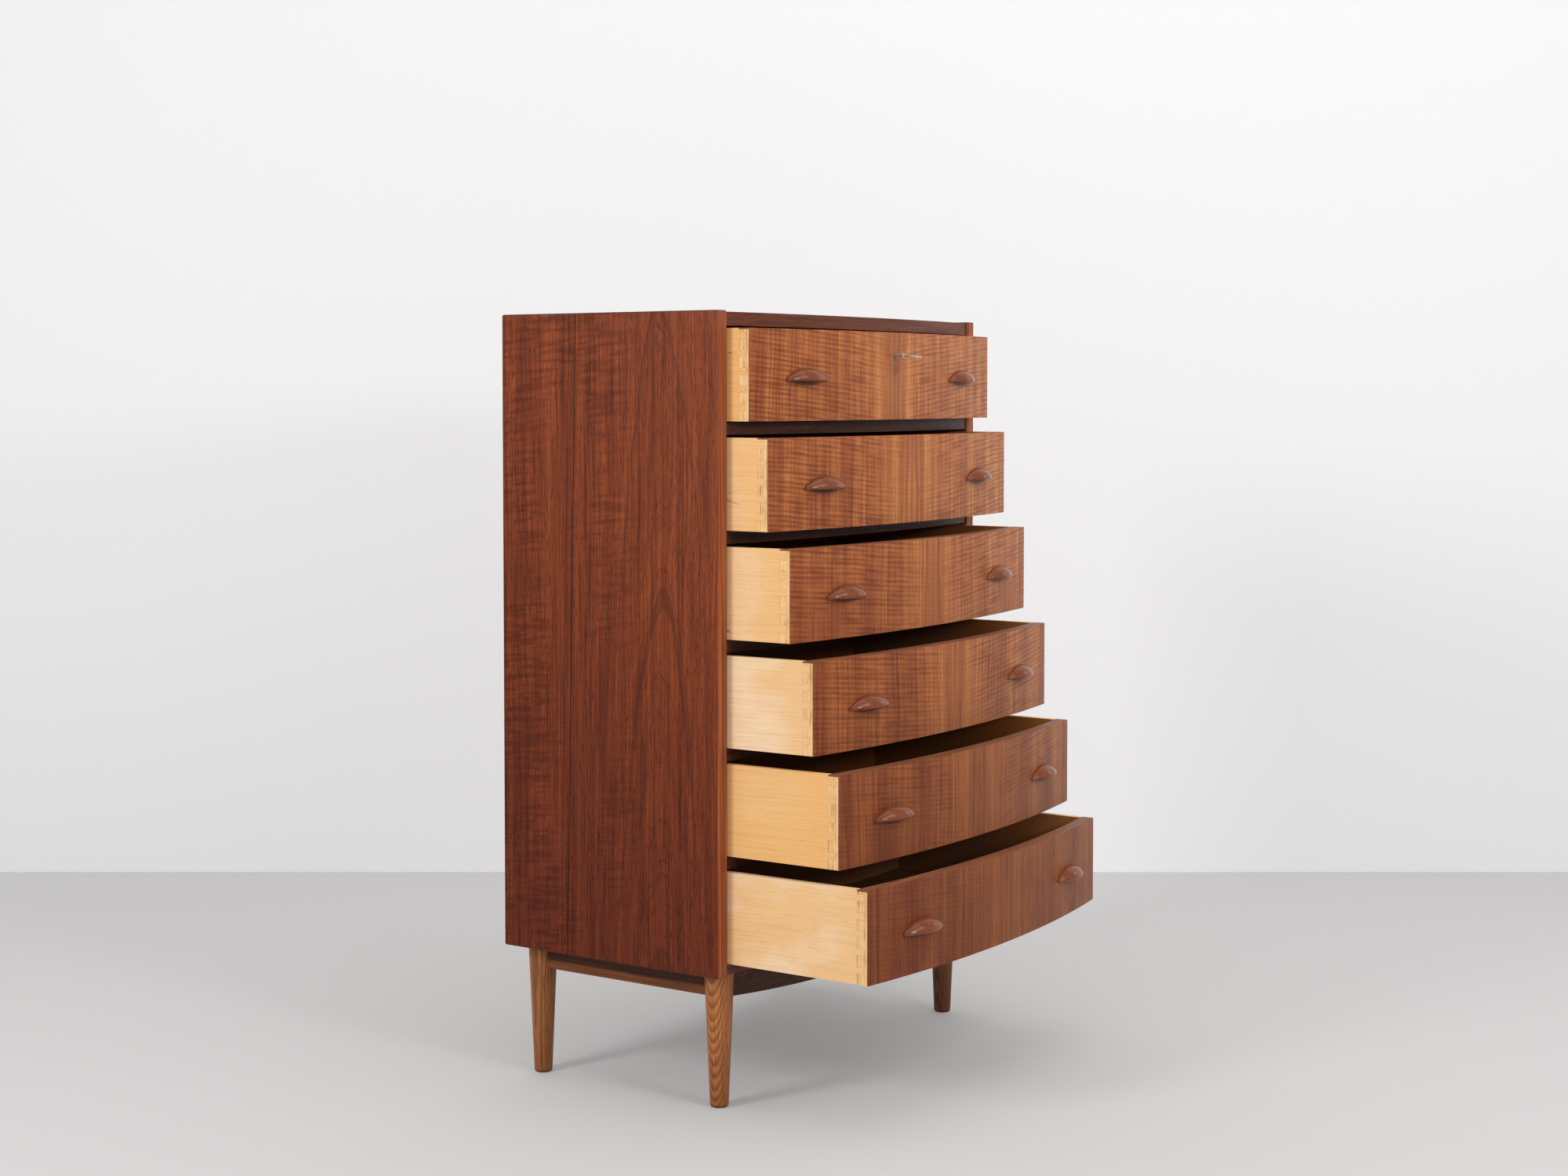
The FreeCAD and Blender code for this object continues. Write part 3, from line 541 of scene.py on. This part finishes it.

# ------------------------------------------------------------------ drawer boxes
# Six boxes of pale hardwood: sides and back dovetailed together, and a thin plywood floor let
# into grooves. They are left pale outside, and their inner faces carry painted shade.


def lining_wood(number, golden, pale):
    """Beech oiled to gold that has stayed paler in clouds: faint lines and flecks along Y, a few
    hair-thin cracks, and golden ends where the oil was laid on over the joints. The inner faces
    carry painted shade, darker further in from the front, as the inside of the drawer is in shadow."""
    low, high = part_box(f"drawer_{number}_side_left")
    front, inner_face = low.y, -high.x
    wood = Finish(f"lining_wood_{number}", 0.5, Specular_IOR_Level=0.1)
    x, y, z = wood.x, wood.y, wood.z
    wander = wood.cloud((4, 3, 5), (number, 0, 0), detail=2)
    sway = wood.times(wood.less(wander, 0.5), 0.02)
    level = wood.sum(z, sway)
    lines = wood.noise((x, y, level), (150, 5, 420), (0, number, 0), detail=4, rough=0.65)
    clouds = wood.cloud((9, 7, 12), (0, 0, number), detail=3)
    ends = wood.span(y, front + 0.012, front + 0.07)
    share = wood.times(wood.span(clouds, 0.36, 0.58), ends)
    colour = wood.blend(share, golden, pale)
    tone = wood.ramp(lines, (0.32, (0.91, 0.87, 0.82)), (0.5, 1.0), (0.68, (1.03, 1.04, 1.05)))
    colour = wood.tint(colour, tone)
    flecks = wood.cloud((700, 45, 900), detail=1)
    colour = wood.blend(wood.span(flecks, 0.62, 0.74, 0.0, 0.30), colour, (0.55, 0.27, 0.10))
    cracks = wood.noise((x, y, level), (3, 2.2, 70), (0, 0, 3.7 * number), detail=0)
    from_crack = wood.maths("ABSOLUTE", wood.less(cracks, 0.60))
    places = wood.cloud((3, 6, 14), (number, 0, 0), detail=1)
    cracked = wood.span(places, 0.56, 0.62, 0.0, 0.6)
    crack = wood.times(wood.span(from_crack, 0.0010, 0.0045, 1.0, 0.0), cracked)
    colour = wood.blend(crack, colour, (0.30, 0.13, 0.05))
    # Painted shade: the inner faces darken from the front inwards, where the inside of the drawer lies in
    # shadow.
    inside_shade_share = wood.span(wood.maths("ABSOLUTE", x), inner_face + 0.0002, inner_face + 0.0008, 0.88, 0.0)
    deep = wood.ramp(wood.span(y, front + 0.03, front + 0.22),
                     (0.0, (0.50, 0.150, 0.025)), (1.0, (0.13, 0.025, 0.005)))
    colour = wood.blend(inside_shade_share, colour, deep)
    return wood.wear(colour, None, lines, 0.00008)


def board_colour(share):
    """Colour of a lining board: share 0 is the golden one, 1 the pale one."""
    golden, pale = (0.83, 0.45, 0.155), (0.88, 0.62, 0.38)
    return tuple(gold + (light - gold) * share for gold, light in zip(golden, pale))


floor_ply = sheet_ply("floor_ply", (0.13, 0.045, 0.016), (0.19, 0.074, 0.029), (0.25, 0.105, 0.043),
                      along=(14, 2.2, 40))
drawers, paleness = range(1, 7), (0.05, 0.45, 0.55, 0.95, 0.20, 0.90)
for number, share in zip(drawers, paleness):
    boards = lining_wood(number, board_colour(0.45 * share), board_colour(1.15 * share))
    dress(boards, f"drawer_{number}_side_left", f"drawer_{number}_side_right", f"drawer_{number}_back")
    dress(floor_ply, f"drawer_{number}_bottom")

# ------------------------------------------------------------------ drawer fronts
# Bowed boards of pale core wood with a teak lipping on the top edge, lapped over the dovetails of
# the sides, and faced with one continuous book-matched sheet of figured teak.

drawer_rise, face_setback = 0.0303, 0.0028
half_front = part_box("drawer_1_front")[1].x
bow_radius = (half_front ** 2 + drawer_rise ** 2) / (2 * drawer_rise)
face_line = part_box("side_panel_left")[0].y + face_setback
slides = [joint for joint in frame["joints"] if joint["name"].startswith("drawer")]
openings = {joint["child"]: -joint["range_m"][0] for joint in slides}


def bow_centre(number):
    """Depth of the upright axis that a drawer's bow is struck from, where the drawer stands."""
    return face_line - openings[f"drawer_{number}"] - drawer_rise + bow_radius


def front_core(number):
    """Core, pins and lipping told apart by depth, which is bow_radius less the distance from the
    bow's axis, and by height: teak in the outer skin and the top lipping, plain brown veneer on the
    inner face, and pale wood with upright end-grain lines between."""
    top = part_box(f"drawer_{number}_front")[1].z
    wood = Finish(f"front_core_{number}", 0.5, Specular_IOR_Level=0.2)
    x, y, z = wood.x, wood.y, wood.z
    from_axis = wood.less(y, bow_centre(number))
    radius = wood.maths("SQRT", wood.sum(wood.times(x, x), wood.times(from_axis, from_axis)))
    depth = wood.less(bow_radius, radius)
    lines = wood.noise((depth, 0.3, z), (620, 1, 7), (number, 0, 0), detail=2, rough=0.6)
    spots = wood.cloud((120, 120, 60), detail=2)
    pale = wood.ramp(wood.blend(0.3, lines, spots), (0.36, (0.46, 0.23, 0.08)), (0.44, (0.76, 0.45, 0.19)),
                     (0.60, (0.88, 0.58, 0.29)))
    across_lines = wood.cloud((6, 300, 300), detail=3)
    teak = wood.ramp(across_lines, (0.3, (0.13, 0.042, 0.020)), (0.7, (0.30, 0.110, 0.050)))
    inner = wood.ramp(wood.cloud((5, 60, 160), detail=4),
                      (0.3, (0.26, 0.12, 0.05)), (0.7, (0.46, 0.25, 0.11)))
    outer_skin = wood.span(depth, 0.0017, 0.0021, 1.0, 0.0)
    inner_skin = wood.span(depth, 0.0190, 0.0192)
    lipping = wood.span(z, top - 0.0024, top - 0.0020)
    colour = wood.blend(inner_skin, pale, inner)
    colour = wood.blend(lipping, colour, teak)
    colour = wood.blend(outer_skin, colour, teak)
    return wood.wear(colour, None, lines, 0.00012)


key_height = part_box("lock_case")[1].z - 0.034
hole_radius, slot_half, keyhole_length = 0.0043, 0.0023, 0.0181
storey_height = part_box("drawer_1_front")[0].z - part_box("drawer_2_front")[0].z
pull_spread, pull_height = 0.231, 0.0585
pull_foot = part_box("drawer_1_front")[0].z + pull_height


def front_teak():
    """Figured teak, grain upright, mirrored about the middle seam: wavering stripes, short dark
    pores, and close ripples that lean towards the middle and fade downwards and at the seam. It is
    darkened by hands under the keyhole. A painted shadow lies under each pull, painted shade
    darkens it towards the floor, and a painted sheen makes it paler and greyer towards the right and
    darker on the left. Patterns are looked up at (side, half, z), where side is the
    distance from the seam and half, a small step either way, tells left from right."""
    wood = Finish("front_teak", 0.38, Specular_IOR_Level=0.18)
    x, z = wood.x, wood.z
    from_seam = wood.sum(x, 0.001)
    side = wood.maths("ABSOLUTE", from_seam)
    half = wood.times(wood.maths("SIGN", from_seam), 0.02)
    wander = wood.noise((side, half, z), (5, 1, 2.2), detail=3)
    grain_x = wood.sum(side, wood.times(wood.less(wander, 0.5), 0.035))
    broad = wood.noise((grain_x, half, z), (42, 1, 0.7), detail=3, rough=0.55)
    stripes = wood.noise((grain_x, half, z), (190, 1, 1.6), detail=3, rough=0.6)
    fine = wood.noise((grain_x, half, z), (760, 9, 4), detail=2, rough=0.6)
    tone = wood.blend(0.48, wood.blend(0.42, broad, stripes), fine)
    colour = wood.ramp(tone, (0.37, (0.225, 0.060, 0.019)), (0.46, (0.335, 0.096, 0.029)),
                       (0.54, (0.44, 0.144, 0.044)), (0.66, (0.55, 0.218, 0.072)))
    lean = wood.less(z, wood.times(side, 0.09))
    waves = wood.noise((side, half, z), (7, 1, 9), detail=2)
    ripple_pitch = 0.0072
    phase = wood.sum(wood.times(lean, 2 * math.pi / ripple_pitch), wood.times(waves, 6))
    ragged = wood.noise((side, half, lean), (15, 1, 150), detail=2.5)
    ripple = wood.sum(wood.times(wood.maths("SINE", phase), 0.13), ragged)
    patch = wood.noise((side, half, z), (11, 1, 9), (7, 0, 0), detail=2)
    share = wood.times(wood.span(patch, 0.28, 0.50), wood.span(side, 0.015, 0.10, 0.25, 1.0))
    share = wood.times(share, wood.span(z, 0.22, 0.75, 0.30, 1.0))
    golden = wood.noise((side, half, z), (16, 1, 6), (2, 0, 5), detail=2)
    glow = wood.ramp(golden, (0.38, (0.93, 0.88, 0.86)), (0.62, (1.10, 1.16, 1.08)))
    colour = wood.tint(colour, glow)
    ripple_tone = wood.ramp(ripple, (0.34, (0.68, 0.60, 0.56)), (0.50, (0.98, 0.97, 0.96)),
                            (0.66, (1.15, 1.21, 1.22)))
    colour = wood.blend(share, colour, wood.tint(colour, ripple_tone))
    lines = wood.noise((grain_x, half, z), (480, 1, 2.5), (0, 3, 0), detail=2, rough=0.6)
    line_tone = wood.ramp(lines, (0.40, (0.76, 0.69, 0.65)), (0.50, 1.0))
    colour = wood.blend(0.85, colour, wood.tint(colour, line_tone))
    pores = wood.noise((grain_x, half, z), (1150, 9, 26), detail=1)
    colour = wood.blend(wood.span(pores, 0.57, 0.70, 0.0, 0.45), colour, (0.085, 0.022, 0.009))
    swayed = wood.sum(side, wood.times(wood.less(wander, 0.5), 0.06))
    streak = wood.maths("ABSOLUTE", wood.less(swayed, 0.016))
    colour = wood.blend(wood.span(streak, 0.0005, 0.0045, 0.5, 0.0), colour, (0.16, 0.045, 0.020))
    under_key = wood.oval(wood.less(x, 0.007), wood.less(z, key_height - 0.0241), 0.008, 0.008)
    colour = wood.blend(wood.span(under_key, 0.1, 1.2, 0.45, 0.0), colour, (0.12, 0.040, 0.020))
    # Painted shadow: a dark oval under each pull, where the pull shades the front.
    below = wood.maths("FLOORED_MODULO", wood.less(pull_foot, z), storey_height)
    painted_pull_shadow = wood.oval(wood.less(side, pull_spread - 0.0005), below, 0.040, 0.0085)
    colour = wood.blend(wood.span(painted_pull_shadow, 0.2, 1.0, 0.85, 0.0), colour, (0.050, 0.016, 0.009))
    colour = wood.blend(wood.span(side, 0.0, 0.0006, 0.55, 0.0), colour, (0.07, 0.020, 0.010))
    # Painted shade: darker towards the floor, as the light from above falls off.
    fade = wood.ramp(wood.span(z, 0.2, 1.1), (0.0, (0.53, 0.43, 0.31)), (0.5, (0.84, 0.76, 0.64)),
                     (1.0, (1.05, 1.03, 0.93)))
    colour = wood.tint(colour, fade)
    # Painted sheen: darker on the left, paler and greyer towards the right, where the bow turns to the
    # light.
    painted_sheen = wood.ramp(wood.span(x, -0.36, 0.36), (0.0, (0.84, 0.77, 0.86)), (0.4, (1.01, 1.04, 1.08)),
                         (1.0, (1.05, 1.14, 1.26)))
    colour = wood.tint(colour, painted_sheen)
    relief = wood.less(fine, wood.span(pores, 0.57, 0.7))
    return wood.wear(colour, wood.span(pores, 0.45, 0.7, 0.33, 0.5), relief, 0.00008)


veneer_teak = front_teak()
facing_rise, facing_sink, facing_overlap = 0.00008, 0.0006, 0.00005


def wrapped(x, z, radius, number):
    """A flat drawing (x, z) laid on the drawer's bow: y is the arc of that radius at x."""
    return np.stack([x, bow_centre(number) - np.sqrt(radius ** 2 - x ** 2), z], -1)


def facing_points(number, x, z):
    """Both sides of a facing: a drawing in rows of points, laid a hair outside the drawer's bow,
    and the same drawing again just inside it."""
    outer = wrapped(x, z, bow_radius + facing_rise, number)
    inner = wrapped(x, z, bow_radius - facing_sink, number)
    return np.concatenate([outer.reshape(-1, 3), inner.reshape(-1, 3)])


def rim_faces(rim, count):
    """Quads that join a closed ring of points to the same ring, count points further on."""
    following = np.roll(rim, -1)
    return np.stack([rim, following, following + count, rim + count], -1)


def plain_facing(number, low, high):
    """Whole sheet: a grid of widths and heights wrapped on the bow, closed round its four edges."""
    rows, columns = 9, 97
    count = rows * columns
    width = np.linspace(low.x - facing_overlap, high.x + facing_overlap, columns)
    height = np.linspace(low.z - facing_overlap, high.z + facing_overlap, rows)
    rim = np.concatenate([np.arange(columns), np.arange(1, rows) * columns + columns - 1,
                          (rows - 1) * columns + np.arange(columns - 2, -1, -1),
                          np.arange(rows - 2, 0, -1) * columns])
    sheet = grid_faces(rows, columns)
    faces = np.concatenate([sheet, sheet[:, ::-1] + count, rim_faces(rim, count)[:, ::-1]])
    return facing_points(number, *np.meshgrid(width, height)), faces


def keyholed_facing(number, low, high):
    """Sheet with a keyhole: a ray at each angle, from a point inside the keyhole, runs from the
    keyhole's outline, which is the further of a circle and a slot, to the sheet's rim. Points stand
    along it at start + (end - start) * share ^ 1.6, so they crowd at the hole."""
    rise, tiny = 0.0035, 1e-6
    middle_z = key_height - rise
    rim_x, rim_z = np.linspace(low.x, high.x, 97), np.linspace(low.z, high.z, 15) - middle_z
    to_corners = [np.arctan2(edge, rim_x) for edge in rim_z[[0, -1]]]
    to_corners += [np.arctan2(rim_z, side) for side in (low.x, high.x)]
    angle = np.unique(np.concatenate([np.linspace(-np.pi, np.pi, 97)[:-1]] + to_corners).round(7))
    cos, sin = np.cos(angle), np.sin(angle)
    round_part = rise * sin + np.sqrt(hole_radius ** 2 - (rise * cos) ** 2)
    to_slot_foot = (keyhole_length - hole_radius - rise) / np.maximum(-sin, tiny)
    slot_part = np.minimum(slot_half / np.maximum(np.abs(cos), tiny), np.where(sin < 0, to_slot_foot, 0.001))
    start = np.maximum(round_part, slot_part)
    edge_x = np.where(cos > 0, high.x + facing_overlap, low.x - facing_overlap)
    edge_z = np.where(sin > 0, high.z + facing_overlap, low.z - facing_overlap) - middle_z
    end = np.minimum(np.abs(edge_x / np.where(np.abs(cos) < tiny, tiny, cos)),
                     np.abs(edge_z / np.where(np.abs(sin) < tiny, tiny, sin)))
    length = start + (end - start) * np.linspace(0, 1, 49)[:, None] ** 1.6
    rows, columns = length.shape
    count, ring = length.size, np.arange(columns)
    sheet = grid_faces(rows, columns, True)
    faces = np.concatenate([sheet[:, ::-1], sheet + count, rim_faces(ring, count),
                            rim_faces(ring + count - columns, count)[:, ::-1]])
    return facing_points(number, length * cos, middle_z + length * sin), faces


for number in drawers:
    dress(front_core(number), f"drawer_{number}_front")
    maker = keyholed_facing if number == 1 else plain_facing
    points, faces = maker(number, *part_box(f"drawer_{number}_front"))
    add_piece(f"drawer_{number}_facing", points, faces, veneer_teak, f"drawer_{number}")

# ------------------------------------------------------------------ dovetail joints
# The tails of each side show on the side's outer face, lapped in the front and open at the back.
# Glue and dust have darkened the joint between tail and pin to a fine broken line.


def joint_line_finish():
    """Dark glue and dust that show in short runs, golden wood between them."""
    wood = Finish("joint_line", 0.7)
    gaps = wood.cloud((300, 300, 160), detail=2)
    return wood.wear(wood.ramp(gaps, (0.40, (0.50, 0.26, 0.10)), (0.56, (0.10, 0.04, 0.018))))


def joint_lines(side_x, shoulder, tip, base, top):
    """Zigzag of one dovetail joint on a side's outer face, from its top edge down, out to the tip
    along each tail and back. Each stretch of it is a sliver of square-cornered section, about a
    quarter of a millimetre wide, whose ends run on by half its width."""
    tails, pitch, tail_width, top_pin, slope = 5, 0.026, 0.0104, 0.0057, math.radians(5.0)
    half, proud, sunk = 0.00011, 0.00004, 0.0004
    sign = np.sign(side_x)
    flare = abs(tip - shoulder) / 2 * math.tan(slope)
    upper = top - top_pin - pitch * np.arange(tails)
    lower = upper - tail_width
    height = np.stack([upper - flare, upper + flare, lower - flare, lower + flare], -1).reshape(-1)
    zigzag = np.stack([np.tile([shoulder, tip, tip, shoulder], tails), height], -1)
    path = np.concatenate([[[shoulder, top]], zigzag, [[shoulder, base]]])
    start, end = path[:-1], path[1:]
    along = (end - start) / np.linalg.norm(end - start, axis=1)[:, None]
    aside = np.stack([-along[:, 1], along[:, 0]], -1)
    corners = np.stack([start - half * (along + aside), start - half * (along - aside),
                        end + half * (along + aside), end + half * (along - aside)], 1)
    corners[..., 1] = np.clip(corners[..., 1], base, top)
    outer = np.concatenate([np.full(corners.shape[:2] + (1,), side_x + sign * proud), corners], -1)
    inner = np.concatenate([np.full(corners.shape[:2] + (1,), side_x - sign * sunk), corners], -1)
    points = np.stack([outer, inner], 1).reshape(-1, 3)
    sliver = np.array([[0, 1, 2, 3], [7, 6, 5, 4], [0, 4, 5, 1], [1, 5, 6, 2], [2, 6, 7, 3], [3, 7, 4, 0]])
    faces = (sliver[None] + 8 * np.arange(len(start))[:, None, None]).reshape(-1, 4)
    return points, faces[:, ::-1] if sign > 0 else faces


joint_line, tail_length = joint_line_finish(), 0.012
for number in drawers:
    low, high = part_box(f"drawer_{number}_side_right")
    rear_low, rear_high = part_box(f"drawer_{number}_back")
    points, faces = [], []
    for side_x in (-high.x, high.x):
        for shoulder, tip in ((low.y + tail_length, low.y), (rear_low.y, rear_high.y)):
            line_points, line_faces = joint_lines(side_x, shoulder, tip, low.z, high.z)
            faces.append(line_faces + sum(map(len, points)))
            points.append(line_points)
    add_piece(f"drawer_{number}_joint_lines", np.concatenate(points), np.concatenate(faces), joint_line,
              f"drawer_{number}")

# ------------------------------------------------------------------ handles
# Twelve half-moon pulls of solid teak, grain lengthwise: a quarter of a turned oval, hollowed
# underneath for the fingers, sanded round at the rim and screwed on from inside.


def handle_teak():
    """Solid teak polished by hands: close faint streaks along the pull, redder than the veneer."""
    wood = Finish("handle_teak", 0.14, Specular_IOR_Level=0.15, Coat_Weight=0.22, Coat_Roughness=0.09)
    x, y, z = wood.x, wood.y, wood.z
    wander = wood.cloud((22, 22, 30), detail=1)
    sway = wood.times(wood.less(wander, 0.5), 0.006)
    swaying = (x, wood.sum(y, sway), wood.sum(z, sway))
    streaks = wood.noise(swaying, (9, 620, 700), detail=2, rough=0.5)
    colour = wood.ramp(streaks, (0.34, (0.160, 0.038, 0.012)), (0.5, (0.190, 0.048, 0.016)),
                       (0.66, (0.225, 0.061, 0.020)))
    pores = wood.cloud((60, 1500, 1500), detail=1)
    colour = wood.blend(wood.span(pores, 0.6, 0.7, 0.0, 0.2), colour, (0.07, 0.018, 0.009))
    return wood.wear(colour, wood.span(streaks, 0.35, 0.65, 0.13, 0.15))


handle_half, handle_radius, tip_radius = 0.0480, 0.0204, 0.0068
tip_centre = handle_half - tip_radius
oval_radius = (tip_centre ** 2 + handle_radius ** 2 - tip_radius ** 2) / (2 * (handle_radius - tip_radius))
oval_depth = oval_radius - handle_radius
handle_angle = math.asin(pull_spread / bow_radius)


def pull_surface():
    """Closed section carried along the pull. At length t the oval's radius r is a long arc, then a
    tip arc. The section goes up the dome from a small round rim, a circle of radius rim tangent to
    dome and underside, then down the seat, which follows the bow and stands a hair inside it, and
    out along the underside. The finger groove in that is half an oval, depth times the square root
    of 1 - ((across - middle) / half)^2, and it fades out at its two ends."""
    stations, dome_steps, groove_steps = 73, 20, 30
    rim_radius, seat_sink, seat_ease = 0.0036, 0.0005, 0.0015
    groove_depth, groove_middle, groove_half, groove_end, groove_fade = 0.0065, 0.53, 0.36, 0.0265, 0.0060
    t = handle_half * np.sin(np.linspace(-np.pi / 2, np.pi / 2, stations))
    joint = tip_centre * (1 + tip_radius / math.hypot(tip_centre, oval_depth))
    long_arc = np.sqrt(oval_radius ** 2 - t ** 2) - oval_depth
    tip_arc = np.sqrt(np.maximum(tip_radius ** 2 - (np.abs(t) - tip_centre) ** 2, 0))
    r = np.where(np.abs(t) < joint, long_arc, tip_arc)[:, None]
    rim = np.minimum(rim_radius, 0.3 * r)
    rim_out = np.sqrt(np.maximum((r - rim) ** 2 - rim ** 2, 0))
    rim_end = np.arctan2(rim, np.maximum(rim_out, 1e-9))
    turn = rim_end + (np.pi / 2 - rim_end) * np.linspace(0, 1, dome_steps)[None]
    dome = r * np.cos(turn), r * np.sin(turn)
    seat = -(t[:, None] ** 2 / (2 * bow_radius) + seat_sink) * np.minimum(1, r / seat_ease)
    behind = seat + 0 * np.linspace(0, 1, 4)[None], r * np.linspace(1, 0, 4)[None]
    across = np.linspace(0, 1, groove_steps)[None]
    out = seat + (rim_out - seat) * across
    hollow = groove_depth * np.sqrt(np.maximum(1 - ((across - groove_middle) / groove_half) ** 2, 0))
    fade = np.clip((groove_end - np.abs(t[:, None])) / groove_fade, 0, 1)
    fade = fade * fade * (3 - 2 * fade)
    under = out, hollow * fade
    bend = -np.pi / 2 + (rim_end + np.pi / 2) * np.linspace(0, 1, 7)[None, 1:-1]
    corner = rim_out + rim * np.cos(bend), rim + rim * np.sin(bend)
    outward = np.concatenate([dome[0], behind[0], under[0], corner[0]], 1)
    upward = np.concatenate([dome[1], behind[1], under[1], corner[1]], 1)
    along = np.broadcast_to(t[:, None], outward.shape)
    return along, outward, upward


def set_pull(along, outward, upward, number, sign, base):
    """Turns the pull square to the bow at its place, left or right of the middle."""
    cos, sin = math.cos(handle_angle), math.sin(handle_angle)
    x = sign * (pull_spread + along * cos + outward * sin)
    y = bow_centre(number) - bow_radius * cos + along * sin - outward * cos
    return np.stack([x, y, base + pull_height + upward], -1)


pull_finish = handle_teak()
along, outward, upward = pull_surface()
pull_faces = grid_faces(*along.shape, True)
pull_faces = np.concatenate([pull_faces[:, ::-1], pull_faces + along.size])
screw_shift, screw_height, pull_screw, inner_radius = 0.022, 0.0655, 0.0036, bow_radius - 0.0205
spots = [sign * (pull_spread + shift) for sign in (-1, 1) for shift in (-screw_shift, screw_shift)]
for number in drawers:
    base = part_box(f"drawer_{number}_front")[0].z
    points = np.concatenate([set_pull(along, outward, upward, number, sign, base) for sign in (1, -1)])
    pulls = add_piece(f"drawer_{number}_pulls", points, pull_faces, pull_finish,
                      f"drawer_{number}", 1.0)
    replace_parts(pulls, f"drawer_{number}_handles")
    seats = [(spot, bow_centre(number) - math.sqrt(inner_radius ** 2 - spot ** 2), base + screw_height)
             for spot in spots]
    points, faces = screw_heads(seats, (0, 1, 0), pull_screw)
    add_piece(f"drawer_{number}_pull_screws", points, faces, lock_steel, f"drawer_{number}")

# ------------------------------------------------------------------ lock, keyhole and key
# A steel drawer lock let into the back of the top front, with a brass-lined keyhole. The bolt
# rises into a steel keeper in the top panel, and the old key hangs a little in its worn hole.

dress(lock_steel, "lock_case", "lock_bolt", "strike_plate")
dress(plain_metal("keyhole_metal", (0.46, 0.40, 0.29), 0.45, 0.7), "escutcheon")
key_steel = plain_metal("key_steel", (0.62, 0.57, 0.50), 0.30, 0.75)
dress(key_steel, "key")

plate_column, above_foot, below_selvedge, lock_screw = 0.0255, 0.006, 0.009, 0.0022
case_low, case_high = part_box("lock_case")
plate_rows = (case_low.z + above_foot, case_high.z - below_selvedge)
plate_screws = [(x, case_high.y, z) for x in (-plate_column, plate_column) for z in plate_rows]
points, faces = screw_heads(plate_screws, (0, 1, 0), lock_screw)
add_piece("lock_screws", points, faces, lock_steel, "drawer_1")
keeper_column = 0.0165
keeper_low, keeper_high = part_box("strike_plate")
keeper_y = (keeper_low.y + keeper_high.y) / 2
keeper_screws = [(x, keeper_y, keeper_low.z) for x in (-keeper_column, keeper_column)]
points, faces = screw_heads(keeper_screws, (0, 0, -1), lock_screw)
add_piece("keeper_screws", points, faces, lock_steel, "case")
